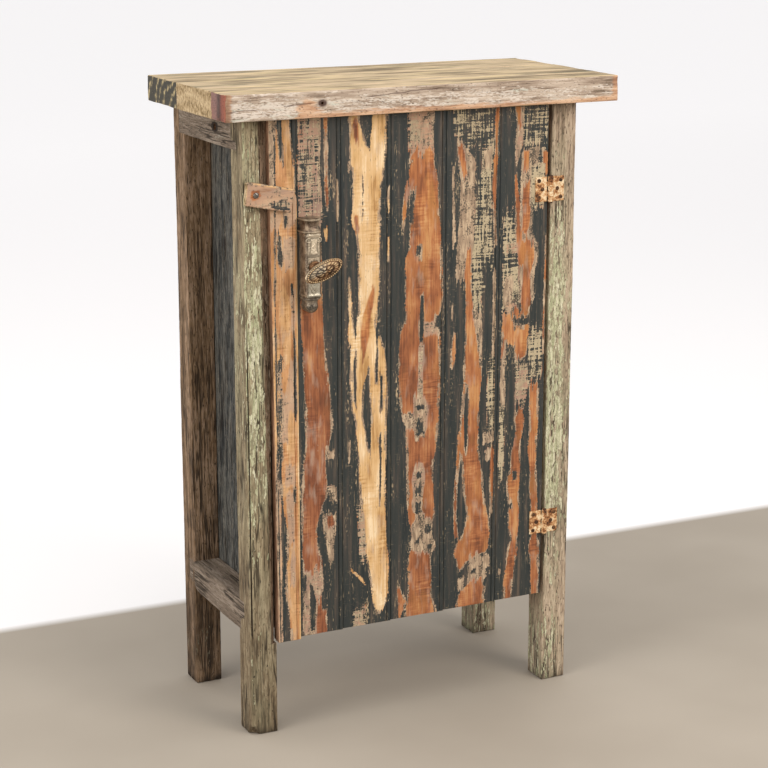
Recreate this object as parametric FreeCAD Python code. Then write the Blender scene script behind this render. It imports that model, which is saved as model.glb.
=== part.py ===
import FreeCAD, Part
import os
from math import cos, radians, sin

# A small free-standing cupboard of reclaimed timber: four square legs with tenoned side rails, nailed
# board sides and back, a thick three-plank top, and one tongue-and-groove door on butt hinges. A cast-iron
# knob works a catch behind the door, and a wooden turn button on the left leg holds the door shut.
#
# The model is drawn with X across the front, zero midway between the legs, Y going back from the front
# faces of the legs, and Z up from the floor. At the end every piece is moved so that the origin is under
# the middle of the whole cupboard. All lengths are millimetres and all angles degrees.

Vector = FreeCAD.Vector
AXIS_X = Vector(1, 0, 0)
AXIS_Y = Vector(0, 1, 0)
AXIS_Z = Vector(0, 0, 1)

# Whole cupboard
overall_height = 1000.0
body_width = 565.0
body_depth = 283.0

# Legs
leg_width = 44.5
leg_depth = 46.5
leg_arris = 2.0
rebate_width_above = 18.0
rebate_width_below = 6.5
rebate_depth = 12.0
rebate_below_door = 4.0

# Top planks
top_length = 660.0
top_thickness = 40.5
top_front_overhang = 25.0
top_back_overhang = 17.0
top_left_overhang = 35.5
front_plank_width = 55.0
middle_plank_width = 142.0
plank_gap = 0.3
plank_arris = 2.5
nail_hole_radius = 2.2
nail_hole_depth = 18.0
nail_hole_from_left = 153.0
nail_hole_below_top = 19.0

# Rails of the underframe and of the top frame
underframe_height = 164.0
bottom_rail_height = 50.0
top_rail_height = 48.0
cross_rail_thickness = 24.0
tenon_length = 24.0
tenon_thickness = 14.0
tenon_shoulder = 8.0
joint_fit = 0.1
wane_width = 17.0
wane_height = 15.0
old_bolt_hole_radius = 5.0
old_bolt_hole_depth = 22.0
old_bolt_hole_from_leg = 61.5
old_bolt_hole_below_top = 21.0

# Dowels
dowel_radius = 4.0
dowel_in_leg = 11.0
dowel_in_rail = 26.0
top_dowel_radius = 5.0
top_dowel_in_leg = 7.0
top_dowel_in_plank = 22.0

# Side panels, back, bottom and shelf
panel_thickness = 14.0
back_board_count = 4
back_board_thickness = 12.0
back_recess = 12.0
back_batten_thickness = 22.0
board_gap = 0.3
bottom_board_thickness = 14.0
shelf_height = 520.0
shelf_thickness = 18.0
shelf_setback = 8.0
cleat_height = 20.0
cleat_thickness = 18.0
cleat_end_gap = 14.0

# Nails
nail_radius = 1.3
nail_head_radius = 3.0
nail_head_thickness = 1.0
nail_length = 28.0
nail_inset = 24.0

# Door
door_left_gap = 4.5
door_hinge_gap = 5.5
door_bottom_height = 151.0
door_top_gap = 2.5
door_thickness = 22.0
door_stop_gap = 0.5
board_1_width = 36.5
board_2_width = 72.5
board_3_width = 83.5
board_4_width = 94.0
board_5_width = 94.5
board_1_proud = 1.0
board_1_drop = 4.0
lip_reach_above = 8.0
lip_reach_below = 1.5
lip_back_gap = 0.5
board_end_rise = 1.0
tongue_width = 6.0
tongue_thickness = 6.0
groove_clearance = 0.3
bead_width = 7.0
quirk_width = 1.6
quirk_depth = 1.4
board_arris = 1.0
ledge_height = 60.0
ledge_thickness = 18.0
ledge_end_gap = 18.0
ledge_above_bottom = 86.0
ledge_below_top = 54.0
ledge_arris = 3.0
ledge_screw_radius = 1.8
ledge_screw_head_radius = 3.6
ledge_screw_head_depth = 2.4
ledge_screw_length = 32.0
ledge_screw_inset = 15.0

# Butt hinges
hinge_height = 40.0
hinge_leaf_width = 26.0
hinge_leaf_thickness = 2.0
hinge_knuckle_radius = 4.25
hinge_pin_radius = 2.0
hinge_pin_clearance = 0.05
hinge_pin_head_radius = 3.2
hinge_pin_head_height = 1.6
hinge_knuckle_count = 5
hinge_knuckle_gap = 0.3
hinge_leaf_clearance = 0.5
hinge_upper_below_door_top = 112.0
hinge_lower_above_door_bottom = 108.0
hinge_screw_radius = 1.7
hinge_screw_head_radius = 3.2
hinge_screw_length = 17.0
hinge_screw_inset = 6.5
hinge_screw_stagger = 6.0

# Wooden turn button on the left leg
button_pivot_from_leg_edge = 16.0
button_below_door_top = 106.5
button_tilt = 12.0
button_short_arm = 15.5
button_long_arm = 61.0
button_half_height = 17.7
button_end_skew = 0.5
button_thickness = 10.0
button_clearance = 0.3
button_bore_clearance = 0.1
button_face_gap = 0.1
button_corner = 2.0
button_screw_radius = 2.2
button_screw_head_radius = 4.6
button_screw_head_height = 2.4
button_screw_in_leg = 24.0
button_washer_radius = 7.0

# Cast handle case
case_width = 27.0
case_depth = 27.0
case_from_board_edge = 0.6
case_top_below_door_top = 167.0
case_height = 97.0
case_corner = 3.0
case_wall = 5.0
collar_height = 22.0
collar_radius = 14.0
collar_rim_radius = 15.5
collar_rim_height = 3.5
foot_rim_height = 4.0
stub_radius = 10.5
stub_length = 12.0
stub_end_length = 9.0
stub_end_shares = ((0.9, 0.45), (0.72, 0.78), (0.5, 1.0))
case_bolt_radius = 2.4
case_bolt_head_radius = 4.6
case_bolt_head_height = 2.8
case_bolt_in_case = 16.0
case_bolt_inset = 9.0

# Knob, its spindle and the catch behind the door
knob_above_case_bottom = 47.0
knob_tilt = -22.0
knob_half_length = 32.0
knob_half_height = 14.0
knob_half_thickness = 10.5
knob_center_proud = 60.0
knob_neck_radius = 6.5
knob_collar_radius = 9.5
knob_collar_height = 4.0
spindle_radius = 5.0
spindle_clearance = 0.08
spindle_board_clearance = 0.5
spindle_square = 7.0
spindle_thread_radius = 3.0
spindle_face_gap = 0.2
catch_thickness = 5.0
catch_width = 16.0
catch_reach = 34.0
catch_behind_keeper = 0.6
catch_nut_radius = 6.0
catch_nut_height = 5.0
nut_sides = 6

# Keeper block on the left side panel
keeper_width = 24.0
keeper_depth = 13.0
keeper_height = 66.0
keeper_behind_door = 2.0
keeper_screw_radius = 1.8
keeper_screw_head_radius = 3.4
keeper_screw_head_height = 1.8
keeper_screw_inset = 14.0
keeper_screw_in_panel = 11.0

# One overrun serves every cut
overrun = 5.0

# Levels and planes worked out from the sizes above
leg_height = overall_height - top_thickness
half_body = body_width / 2
half_opening = half_body - leg_width
panel_inside = half_opening - panel_thickness
rail_front = door_thickness + door_stop_gap
back_board_front = body_depth - back_recess - back_board_thickness
batten_front = back_board_front - back_batten_thickness
front_rail_middle = rail_front + cross_rail_thickness / 2
batten_middle = batten_front + back_batten_thickness / 2
bottom_rail_top = underframe_height + bottom_rail_height
top_rail_bottom = leg_height - top_rail_height
door_left = -half_opening + door_left_gap
door_right = half_opening - door_hinge_gap
door_top = leg_height - door_top_gap
top_left = -half_body - top_left_overhang
top_right = top_left + top_length
top_front = -top_front_overhang
top_back = body_depth + top_back_overhang
hinge_axis_x = half_opening - door_hinge_gap / 2
hinge_axis_y = -hinge_knuckle_radius
hinge_upper_height = door_top - hinge_upper_below_door_top - hinge_height
hinge_lower_height = door_bottom_height + hinge_lower_above_door_bottom
button_pivot_x = -half_body + button_pivot_from_leg_edge
button_pivot_height = door_top - button_below_door_top
button_back = -(board_1_proud + button_clearance)
button_front = button_back - button_face_gap - button_thickness
keeper_front = door_thickness + keeper_behind_door
keeper_back = keeper_front + keeper_depth
catch_front = keeper_back + catch_behind_keeper
case_middle = door_left + board_1_width + case_from_board_edge + collar_rim_radius
case_left = case_middle - case_width / 2
case_top_height = door_top - case_top_below_door_top
case_bottom_height = case_top_height - case_height
handle_top_height = case_top_height + collar_height
knob_height = case_bottom_height + knob_above_case_bottom


def box(x0, x1, y0, y1, z0, z1):
    """A box between two opposite corners."""
    return Part.makeBox(x1 - x0, y1 - y0, z1 - z0, Vector(x0, y0, z0))


def rod_x(x0, x1, y, z, radius):
    """A round bar along X."""
    return Part.makeCylinder(radius, x1 - x0, Vector(x0, y, z), AXIS_X)


def rod_y(x, y0, y1, z, radius):
    """A round bar along Y."""
    return Part.makeCylinder(radius, y1 - y0, Vector(x, y0, z), AXIS_Y)


def rod_z(x, y, z0, z1, radius):
    """A round bar along Z."""
    return Part.makeCylinder(radius, z1 - z0, Vector(x, y, z0), AXIS_Z)


def upright(outline, z0, z1):
    """A solid with the same outline in plan from one level to another."""
    points = [Vector(x, y, z0) for x, y in outline]
    face = Part.Face(Part.makePolygon(points + points[:1]))
    return face.extrude(Vector(0, 0, z1 - z0))


def facing(outline, y0, y1):
    """A solid with the same outline, seen from the front, from one depth to another."""
    points = [Vector(x, y0, z) for x, z in outline]
    face = Part.Face(Part.makePolygon(points + points[:1]))
    return face.extrude(Vector(0, y1 - y0, 0))


def chamfered_plan(x0, x1, y0, y1, size):
    """A rectangle in plan with its four corners cut off."""
    return [
        (x0 + size, y0), (x1 - size, y0), (x1, y0 + size), (x1, y1 - size),
        (x1 - size, y1), (x0 + size, y1), (x0, y1 - size), (x0, y0 + size),
    ]


def cut_all(shape, tools):
    """The shape with every tool cut out of it."""
    for tool in tools:
        shape = shape.cut(tool)
    return shape


def fuse_all(shapes):
    """One solid made of overlapping shapes."""
    whole = shapes[0]
    for shape in shapes[1:]:
        whole = whole.fuse(shape)
    return whole.removeSplitter()


# Joints of the frame

def tenon(side, y_shoulder, direction, z0, z1, fit):
    """A rail's tenon at one leg, or its mortise where fit is the joint's clearance."""
    x_middle = side * (half_body - leg_width / 2)
    half_thickness = tenon_thickness / 2 + fit
    y_end = y_shoulder + direction * (tenon_length + fit)
    y_start = y_shoulder
    if fit:
        y_start = y_shoulder - direction * overrun
    return box(x_middle - half_thickness, x_middle + half_thickness, min(y_start, y_end), max(y_start, y_end),
               z0 + tenon_shoulder - fit, z1 - tenon_shoulder + fit)


def rail_levels():
    """The bottom and top of each pair of rails."""
    return {"bottom": (underframe_height, bottom_rail_top), "top": (top_rail_bottom, leg_height)}


def leg_dowels():
    """The cross rails' dowels, each through a side panel into a leg."""
    dowels = []
    for y_middle in (front_rail_middle, batten_middle):
        for z0, z1 in rail_levels().values():
            inner = panel_inside - dowel_in_rail
            outer = half_opening + dowel_in_leg
            z_middle = (z0 + z1) / 2
            dowels.append(rod_x(-outer, -inner, y_middle, z_middle, dowel_radius))
            dowels.append(rod_x(inner, outer, y_middle, z_middle, dowel_radius))
    return dowels


def top_dowel_places():
    """Where the upright dowels stand: two under the front plank, four under each of the others."""
    x_leg = half_body - leg_width / 2
    x_beside_rebate = half_body - (leg_width - rebate_width_above) / 2
    rail_length = body_depth - 2 * leg_depth
    front_plank_back = top_front + front_plank_width
    middle_plank_back = front_plank_back + middle_plank_width
    y_front_leg = front_plank_back / 2
    y_first = leg_depth + rail_length / 6
    y_second = leg_depth + rail_length / 2
    y_third = (middle_plank_back + body_depth - leg_depth) / 2
    y_back_leg = body_depth - leg_depth / 2
    places = [(-x_beside_rebate, y_front_leg), (x_leg, y_front_leg)]
    for y in (y_first, y_second, y_third, y_back_leg):
        places.append((-x_leg, y))
        places.append((x_leg, y))
    return places


def top_dowels():
    """The upright dowels between the frame and the planks."""
    z0 = leg_height - top_dowel_in_leg
    z1 = leg_height + top_dowel_in_plank
    return [rod_z(x, y, z0, z1, top_dowel_radius) for x, y in top_dowel_places()]


def leg(side, at_front):
    """One leg, mortised for the side rails and bored for the dowels and screws that reach it."""
    x0, x1 = (-half_body, -half_opening) if side < 0 else (half_opening, half_body)
    y0, y1 = (0, leg_depth) if at_front else (body_depth - leg_depth, body_depth)
    body = upright(chamfered_plan(x0, x1, y0, y1, leg_arris), 0, leg_height)
    direction = -1 if at_front else 1
    y_shoulder = y1 if at_front else y0
    cuts = [tenon(side, y_shoulder, direction, z0, z1, joint_fit) for z0, z1 in rail_levels().values()]
    cuts += leg_dowels() + top_dowels()
    if at_front and side < 0:
        z_shoulder = door_bottom_height - rebate_below_door
        cuts.append(leaning_plate((z_shoulder, leg_height + overrun), (x1 - rebate_width_below, x1 - rebate_width_above),
                                  x1 + overrun, y0 - overrun, y0 + rebate_depth))
        cuts.append(button_screw_shank())
    if at_front and side > 0:
        cuts += [screw for place in hinge_levels() for screw in hinge_screw_set(place, 1)]
    return cut_all(body, cuts)


def side_rail(side, level):
    """A rail between a front and a back leg, flush with their outer faces, tenoned at both ends."""
    z0, z1 = rail_levels()[level]
    x0, x1 = (-half_body, -half_opening) if side < 0 else (half_opening, half_body)
    y0 = leg_depth
    y1 = body_depth - leg_depth
    tenons = [tenon(side, y0, -1, z0, z1, 0), tenon(side, y1, 1, z0, z1, 0)]
    rail = fuse_all([box(x0, x1, y0, y1, z0, z1)] + tenons)
    cuts = carcass_nail_shanks()
    if level == "top":
        cuts += top_dowels()
    if level == "bottom":
        outer = side * half_body
        wane = Part.Face(Part.makePolygon([
            Vector(outer + side * overrun, y1, z0 - overrun),
            Vector(outer + side * overrun, y1 - wane_width, z0 - overrun),
            Vector(outer + side * overrun, y1 - wane_width, z0),
            Vector(outer + side * overrun, y1, z0 + wane_height),
            Vector(outer + side * overrun, y1, z0 - overrun),
        ]))
        cuts.append(wane.extrude(Vector(-side * (leg_width / 2 + overrun), 0, 0)))
    if level == "top" and side < 0:
        y_hole = leg_depth + old_bolt_hole_from_leg
        z_hole = leg_height - old_bolt_hole_below_top
        x_blind_end = -half_body + old_bolt_hole_depth
        cuts.append(rod_x(-half_body - overrun, x_blind_end, y_hole, z_hole, old_bolt_hole_radius))
    return cut_all(rail, cuts)


def cross_rail(at_front, level):
    """A rail across the front, behind the door, or the batten that carries the back boards."""
    z0, z1 = rail_levels()[level]
    y0, y1 = (rail_front, rail_front + cross_rail_thickness) if at_front else (batten_front, back_board_front)
    rail = box(-panel_inside, panel_inside, y0, y1, z0, z1)
    return cut_all(rail, leg_dowels() + carcass_nail_shanks())


# Nails: each is given by the place of its head and the way it points

def nail_places():
    """The nails of the side panels, back boards, bottom boards and shelf cleats."""
    places = []
    z_bottom = underframe_height + bottom_rail_height * 2 / 3
    z_top = leg_height - top_rail_height / 3
    y_first = leg_depth + nail_inset
    y_last = body_depth - leg_depth - nail_inset
    for side in (-1, 1):
        for z in (z_bottom - nail_inset / 2, z_top):
            for y in (y_first, y_last):
                places.append((Vector(side * panel_inside, y, z), Vector(side, 0, 0)))
        for y in (cleat_ends()[0] + nail_inset, cleat_ends()[1] - nail_inset):
            head = Vector(side * (panel_inside - cleat_thickness), y, shelf_height - cleat_height / 2)
            places.append((head, Vector(side, 0, 0)))
    for x0, x1 in back_board_spans():
        for x in (x0 + nail_inset, x1 - nail_inset):
            for z in (z_bottom, z_top):
                places.append((Vector(x, body_depth - back_recess, z), Vector(0, -1, 0)))
    for y in (rail_front + cross_rail_thickness * 2 / 3, batten_front + back_batten_thickness / 3):
        for x in (-panel_inside / 2 - nail_inset, -nail_inset, nail_inset, panel_inside / 2 + nail_inset):
            places.append((Vector(x, y, bottom_rail_top + bottom_board_thickness), Vector(0, 0, -1)))
    return places


def carcass_nail_shanks():
    """The nails' shanks alone, which are also the holes that they fill."""
    return [Part.makeCylinder(nail_radius, nail_length, head, way) for head, way in nail_places()]


def carcass_nails():
    """All the carcass nails, with flat heads that lie on the boards."""
    nails = []
    for head, way in nail_places():
        start = head - way * nail_head_thickness
        shank = Part.makeCylinder(nail_radius, nail_length, head, way)
        nails.append(fuse_all([shank, Part.makeCylinder(nail_head_radius, nail_head_thickness, start, way)]))
    return Part.makeCompound(nails)


# Boards of the carcass

def side_panel(side):
    """A side panel, nailed inside the rails and lapping the legs' inner faces."""
    x0, x1 = (-half_opening, -panel_inside) if side < 0 else (panel_inside, half_opening)
    panel = box(x0, x1, rail_front, back_board_front, underframe_height, leg_height)
    cuts = leg_dowels() + carcass_nail_shanks()
    if side < 0:
        cuts += keeper_screw_shanks()
    return cut_all(panel, cuts)


def back_board_spans():
    """The left and right edge of each back board."""
    pitch = 2 * half_opening / back_board_count
    return [(-half_opening + i * pitch + board_gap / 2, -half_opening + (i + 1) * pitch - board_gap / 2)
            for i in range(back_board_count)]


def back_board(span):
    """An upright back board, nailed to the battens from behind."""
    y1 = back_board_front + back_board_thickness
    outline = chamfered_plan(span[0], span[1], back_board_front, y1, board_arris)
    return cut_all(upright(outline, underframe_height, leg_height), carcass_nail_shanks())


def bottom_board(at_front):
    """Half of the cupboard's bottom, lying on the front rail or the back batten and on both bearers."""
    y_joint = (rail_front + back_board_front) / 2
    front = (rail_front, y_joint - board_gap / 2)
    back = (y_joint + board_gap / 2, back_board_front)
    y0, y1 = front if at_front else back
    z0 = bottom_rail_top
    board = box(-panel_inside, panel_inside, y0, y1, z0, z0 + bottom_board_thickness)
    return cut_all(board, carcass_nail_shanks())


def batten_on_panel(side, y0, y1, z_top):
    """A small square batten nailed along a side panel's inner face, with its top at the given level."""
    x_inner = panel_inside - cleat_thickness
    x0, x1 = (-panel_inside, -x_inner) if side < 0 else (x_inner, panel_inside)
    return cut_all(box(x0, x1, y0, y1, z_top - cleat_height, z_top), carcass_nail_shanks())


def bottom_bearer(side):
    """A bearer along the side panel, under both bottom boards."""
    return batten_on_panel(side, rail_front + cross_rail_thickness, batten_front, bottom_rail_top)


def cleat_ends():
    """The front and back end of the shelf cleats."""
    return (rail_front + cross_rail_thickness + cleat_end_gap, back_board_front - cleat_end_gap)


def shelf_cleat(side):
    """A cleat nailed to the side panel, which carries one end of the shelf."""
    y0, y1 = cleat_ends()
    return batten_on_panel(side, y0, y1, shelf_height)


def shelf_board():
    """The one loose shelf."""
    x_end = panel_inside - board_gap
    y0 = rail_front + cross_rail_thickness + shelf_setback
    return box(-x_end, x_end, y0, back_board_front - board_gap, shelf_height, shelf_height + shelf_thickness)


# Top planks

def top_plank(name):
    """One of the three thick planks of the top."""
    front_back = top_front + front_plank_width
    middle_back = front_back + middle_plank_width
    y0, y1 = {
        "front": (top_front, front_back - plank_gap / 2),
        "middle": (front_back + plank_gap / 2, middle_back - plank_gap / 2),
        "back": (middle_back + plank_gap / 2, top_back),
    }[name]
    a = plank_arris
    outline = [(y0, leg_height), (y1, leg_height), (y1, overall_height - a), (y1 - a, overall_height),
               (y0 + a, overall_height), (y0, overall_height - a)]
    if name == "front":
        outline[:1] = [(y0, leg_height + a), (y0 + a, leg_height)]
    if name == "back":
        outline[1:2] = [(y1 - a, leg_height), (y1, leg_height + a)]
    points = [Vector(top_left, y, z) for y, z in outline]
    plank = Part.Face(Part.makePolygon(points + points[:1])).extrude(Vector(top_length, 0, 0))
    cuts = top_dowels()
    if name == "front":
        x_hole = top_left + nail_hole_from_left
        z_hole = overall_height - nail_hole_below_top
        cuts.append(rod_y(x_hole, top_front - overrun, top_front + nail_hole_depth, z_hole, nail_hole_radius))
    return cut_all(plank, cuts)


# Door

def board_edges():
    """The left edge of each door board, and the right edge of the last."""
    edges = [door_left]
    for width in (board_1_width, board_2_width, board_3_width, board_4_width, board_5_width):
        edges.append(edges[-1] + width)
    return edges + [door_right]


def quirk(x_middle, y_face):
    """The corners of the small groove that sets off a bead, from right to left."""
    half = quirk_width / 2
    return [(x_middle + half, y_face), (x_middle, y_face + quirk_depth), (x_middle - half, y_face)]


def leaning_plate(levels, lefts, right, y0, y1):
    """A flat plate with an upright right edge, whose left edge leans from one place below to another above."""
    (z0, z1), (left_below, left_above) = levels, lefts
    outline = [Vector(left_below, y0, z0), Vector(right, y0, z0), Vector(right, y0, z1), Vector(left_above, y0, z1)]
    face = Part.Face(Part.makePolygon(outline + outline[:1]))
    return face.extrude(Vector(0, y1 - y0, 0))


def door_board(number):
    """A door board: a tongue on its right edge, a groove in its left one and a bead beside each tongue."""
    edges = board_edges()
    first = number == 1
    last = number == len(edges) - 1
    x0 = edges[number - 1] + (0 if first else board_gap / 2)
    x1 = edges[number] - (0 if last else board_gap / 2)
    y0 = -board_1_proud if first else 0
    y1 = door_thickness
    a = board_arris
    y_tongue = door_thickness / 2 - tongue_thickness / 2
    outline = [(x0 + a, y0), (x0, y0 + a)]
    if not first:
        groove_depth = tongue_width + groove_clearance
        outline += [(x0, y_tongue - groove_clearance), (x0 + groove_depth, y_tongue - groove_clearance)]
        outline += [(x0 + groove_depth, y_tongue + tongue_thickness + groove_clearance)]
        outline += [(x0, y_tongue + tongue_thickness + groove_clearance)]
    outline += [(x0, y1), (x1, y1)]
    if not last:
        outline += [(x1, y_tongue + tongue_thickness), (x1 + tongue_width, y_tongue + tongue_thickness)]
        outline += [(x1 + tongue_width, y_tongue), (x1, y_tongue)]
    outline += [(x1, y0 + a), (x1 - a, y0)]
    if not last:
        outline += quirk(x1 - bead_width, y0)
    bottom = door_bottom_height - board_1_drop if first else door_bottom_height + (number - 2) * board_end_rise
    board = upright(outline, bottom, door_top)
    if first:
        lip = leaning_plate((bottom, door_top), (x0 - lip_reach_below, x0 - lip_reach_above), x0 + 2 * a, y0,
                            rebate_depth - lip_back_gap)
        board = fuse_all([board, lip])
    cuts = ledge_screws()
    if number == 2:
        cuts += case_bolt_shanks()
        cuts.append(rod_y(case_middle, -overrun, door_thickness + overrun, knob_height,
                          spindle_radius + spindle_board_clearance))
    if last:
        cuts += [screw for place in hinge_levels() for screw in hinge_screw_set(place, -1)]
    return cut_all(board, cuts)


def ledge_levels():
    """The bottom of each ledge behind the door."""
    return {"bottom": door_bottom_height + ledge_above_bottom, "top": door_top - ledge_below_top - ledge_height}


def ledge_screws():
    """The countersunk screws that hold the boards to the ledges, two in each board at each ledge."""
    screws = []
    edges = board_edges()
    y_head = door_thickness + ledge_thickness
    for z_ledge in ledge_levels().values():
        for left, right in zip(edges, edges[1:]):
            x = (max(left, door_left + ledge_end_gap) + min(right, door_right - ledge_end_gap)) / 2
            for z in (z_ledge + ledge_screw_inset, z_ledge + ledge_height - ledge_screw_inset):
                shank = rod_y(x, y_head - ledge_screw_length, y_head, z, ledge_screw_radius)
                head = Part.makeCone(ledge_screw_head_radius, ledge_screw_radius, ledge_screw_head_depth,
                                     Vector(x, y_head, z), Vector(0, -1, 0))
                screws.append(fuse_all([shank, head]))
    return screws


def door_ledge(level):
    """A ledge across the back of the door, with its outer edges chamfered."""
    z0 = ledge_levels()[level]
    z1 = z0 + ledge_height
    x0 = door_left + ledge_end_gap
    y0 = door_thickness
    y1 = door_thickness + ledge_thickness
    a = ledge_arris
    outline = [Vector(x0, y0, z0), Vector(x0, y1 - a, z0), Vector(x0, y1, z0 + a), Vector(x0, y1, z1 - a),
               Vector(x0, y1 - a, z1), Vector(x0, y0, z1), Vector(x0, y0, z0)]
    length = door_right - ledge_end_gap - x0
    return cut_all(Part.Face(Part.makePolygon(outline)).extrude(Vector(length, 0, 0)), ledge_screws())


# Butt hinges

def hinge_levels():
    """The bottom of each hinge."""
    return {"upper": hinge_upper_height, "lower": hinge_lower_height}


def knuckle_spans(place, parity):
    """The levels of the knuckles that belong to one leaf."""
    z0 = hinge_levels()[place]
    pitch = hinge_height / hinge_knuckle_count
    return [(z0 + i * pitch + hinge_knuckle_gap / 2, z0 + (i + 1) * pitch - hinge_knuckle_gap / 2)
            for i in range(hinge_knuckle_count) if i % 2 == parity]


def hinge_leaf(place, side):
    """A leaf with its knuckles: side -1 lies on the door and side 1 on the leg."""
    z0 = hinge_levels()[place]
    parity = 0 if side > 0 else 1
    near = hinge_knuckle_radius + hinge_leaf_clearance
    x_near = hinge_axis_x + side * near
    x_far = hinge_axis_x + side * hinge_leaf_width
    pieces = [box(min(x_near, x_far), max(x_near, x_far), -hinge_leaf_thickness, 0, z0, z0 + hinge_height)]
    for z_low, z_high in knuckle_spans(place, parity):
        pieces.append(rod_z(hinge_axis_x, hinge_axis_y, z_low, z_high, hinge_knuckle_radius))
        x_low, x_high = sorted((hinge_axis_x, x_near))
        pieces.append(box(x_low, x_high, -hinge_leaf_thickness, 0, z_low, z_high))
    bore = rod_z(hinge_axis_x, hinge_axis_y, z0 - overrun, z0 + hinge_height + overrun,
                 hinge_pin_radius + hinge_pin_clearance)
    return cut_all(fuse_all(pieces), [bore] + hinge_screw_set(place, side))


def hinge_pin(place):
    """The loose pin, with a flat head at each end."""
    z0 = hinge_levels()[place]
    z1 = z0 + hinge_height
    low = z0 - hinge_knuckle_gap / 2
    high = z1 + hinge_knuckle_gap / 2
    return fuse_all([
        rod_z(hinge_axis_x, hinge_axis_y, low, high, hinge_pin_radius),
        rod_z(hinge_axis_x, hinge_axis_y, low - hinge_pin_head_height, low, hinge_pin_head_radius),
        rod_z(hinge_axis_x, hinge_axis_y, high, high + hinge_pin_head_height, hinge_pin_head_radius),
    ])


def hinge_screw_set(place, side):
    """The three countersunk screws of a leaf, the middle one set nearer to the pin."""
    z0 = hinge_levels()[place]
    z_middle = z0 + hinge_height / 2
    x_outer = hinge_axis_x + side * (hinge_leaf_width - hinge_screw_inset)
    x_inner = x_outer - side * hinge_screw_stagger
    z_top = z0 + hinge_height - hinge_screw_inset
    places = [(x_outer, z0 + hinge_screw_inset), (x_inner, z_middle), (x_outer, z_top)]
    y0 = -hinge_leaf_thickness
    screws = []
    for x, z in places:
        shank = rod_y(x, y0, y0 + hinge_screw_length, z, hinge_screw_radius)
        head = Part.makeCone(hinge_screw_head_radius, hinge_screw_radius, hinge_leaf_thickness,
                             Vector(x, y0, z), AXIS_Y)
        screws.append(fuse_all([shank, head]))
    return screws


# Turn button

def button_screw_shank():
    """The shank of the button's screw, from its head into the leg."""
    return rod_y(button_pivot_x, button_front - button_face_gap, button_screw_in_leg, button_pivot_height,
                 button_screw_radius)


def button_screw():
    """The round-headed screw on which the button turns."""
    y_under_head = button_front - button_face_gap
    radius = (button_screw_head_radius ** 2 + button_screw_head_height ** 2) / (2 * button_screw_head_height)
    center = Vector(button_pivot_x, y_under_head - button_screw_head_height + radius, button_pivot_height)
    disc = rod_y(button_pivot_x, y_under_head - button_screw_head_height, y_under_head, button_pivot_height,
                 button_screw_head_radius)
    return fuse_all([button_screw_shank(), disc.common(Part.makeSphere(radius, center))])


def button_washer():
    """The washer that keeps the button clear of the proud door board."""
    washer = rod_y(button_pivot_x, button_back, 0, button_pivot_height, button_washer_radius)
    return washer.cut(button_screw_shank())


def turn_button():
    """The wooden button, tilted a little down towards the door."""
    x0 = button_pivot_x - button_short_arm
    x1 = button_pivot_x + button_long_arm
    z0 = button_pivot_height - button_half_height
    z1 = button_pivot_height + button_half_height
    c = button_corner
    outline = [(x0 + c, z0), (x1 - button_end_skew, z0), (x1, z1 - c), (x1 - c, z1), (x0 + c, z1), (x0, z1 - c),
               (x0, z0 + c)]
    body = facing(outline, button_front, button_front + button_thickness)
    body = body.cut(rod_y(button_pivot_x, button_front - overrun, overrun, button_pivot_height,
                          button_screw_radius + button_bore_clearance))
    body.rotate(Vector(button_pivot_x, 0, button_pivot_height), AXIS_Y, button_tilt)
    return body


# Handle case, knob and catch

def half_round_wire(radius, z):
    """The outline of a half-round bar that stands on the door's face: flat at the back, round in front."""
    y_axis = collar_radius - case_depth
    left = case_middle - radius
    right = case_middle + radius
    front = Vector(case_middle, y_axis - radius, z)
    arc = Part.Arc(Vector(left, y_axis, z), front, Vector(right, y_axis, z)).toShape()
    side_right = Part.makeLine(Vector(right, y_axis, z), Vector(right, 0, z))
    back = Part.makeLine(Vector(right, 0, z), Vector(left, 0, z))
    side_left = Part.makeLine(Vector(left, 0, z), Vector(left, y_axis, z))
    return Part.Wire([arc, side_right, back, side_left])


def half_round(radius, z0, z1):
    """A half-round bar on the door's face from one level to another."""
    return Part.Face(half_round_wire(radius, z0)).extrude(Vector(0, 0, z1 - z0))


def stub_end(z):
    """The stub's rounded lower end: half-round outlines that shrink towards the tip."""
    wires = [half_round_wire(stub_radius, z)]
    for radius_share, drop_share in stub_end_shares:
        wires.append(half_round_wire(stub_radius * radius_share, z - stub_end_length * drop_share))
    return Part.makeLoft(wires, True, True)


def case_bolt_places():
    """The heights of the two bolts that hold the case from behind the board."""
    return (case_bottom_height + case_bolt_inset, case_top_height + case_bolt_inset)


def case_bolt_shanks():
    """The shanks of the case's bolts."""
    heights = case_bolt_places()
    return [rod_y(case_middle, -case_bolt_in_case, door_thickness, z, case_bolt_radius) for z in heights]


def case_bolts():
    """The case's bolts, with flat round heads on the back of the board."""
    y_back = door_thickness + case_bolt_head_height
    bolts = []
    for z, shank in zip(case_bolt_places(), case_bolt_shanks()):
        head = rod_y(case_middle, door_thickness, y_back, z, case_bolt_head_radius)
        bolts.append(fuse_all([shank, head]))
    return Part.makeCompound(bolts)


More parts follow.
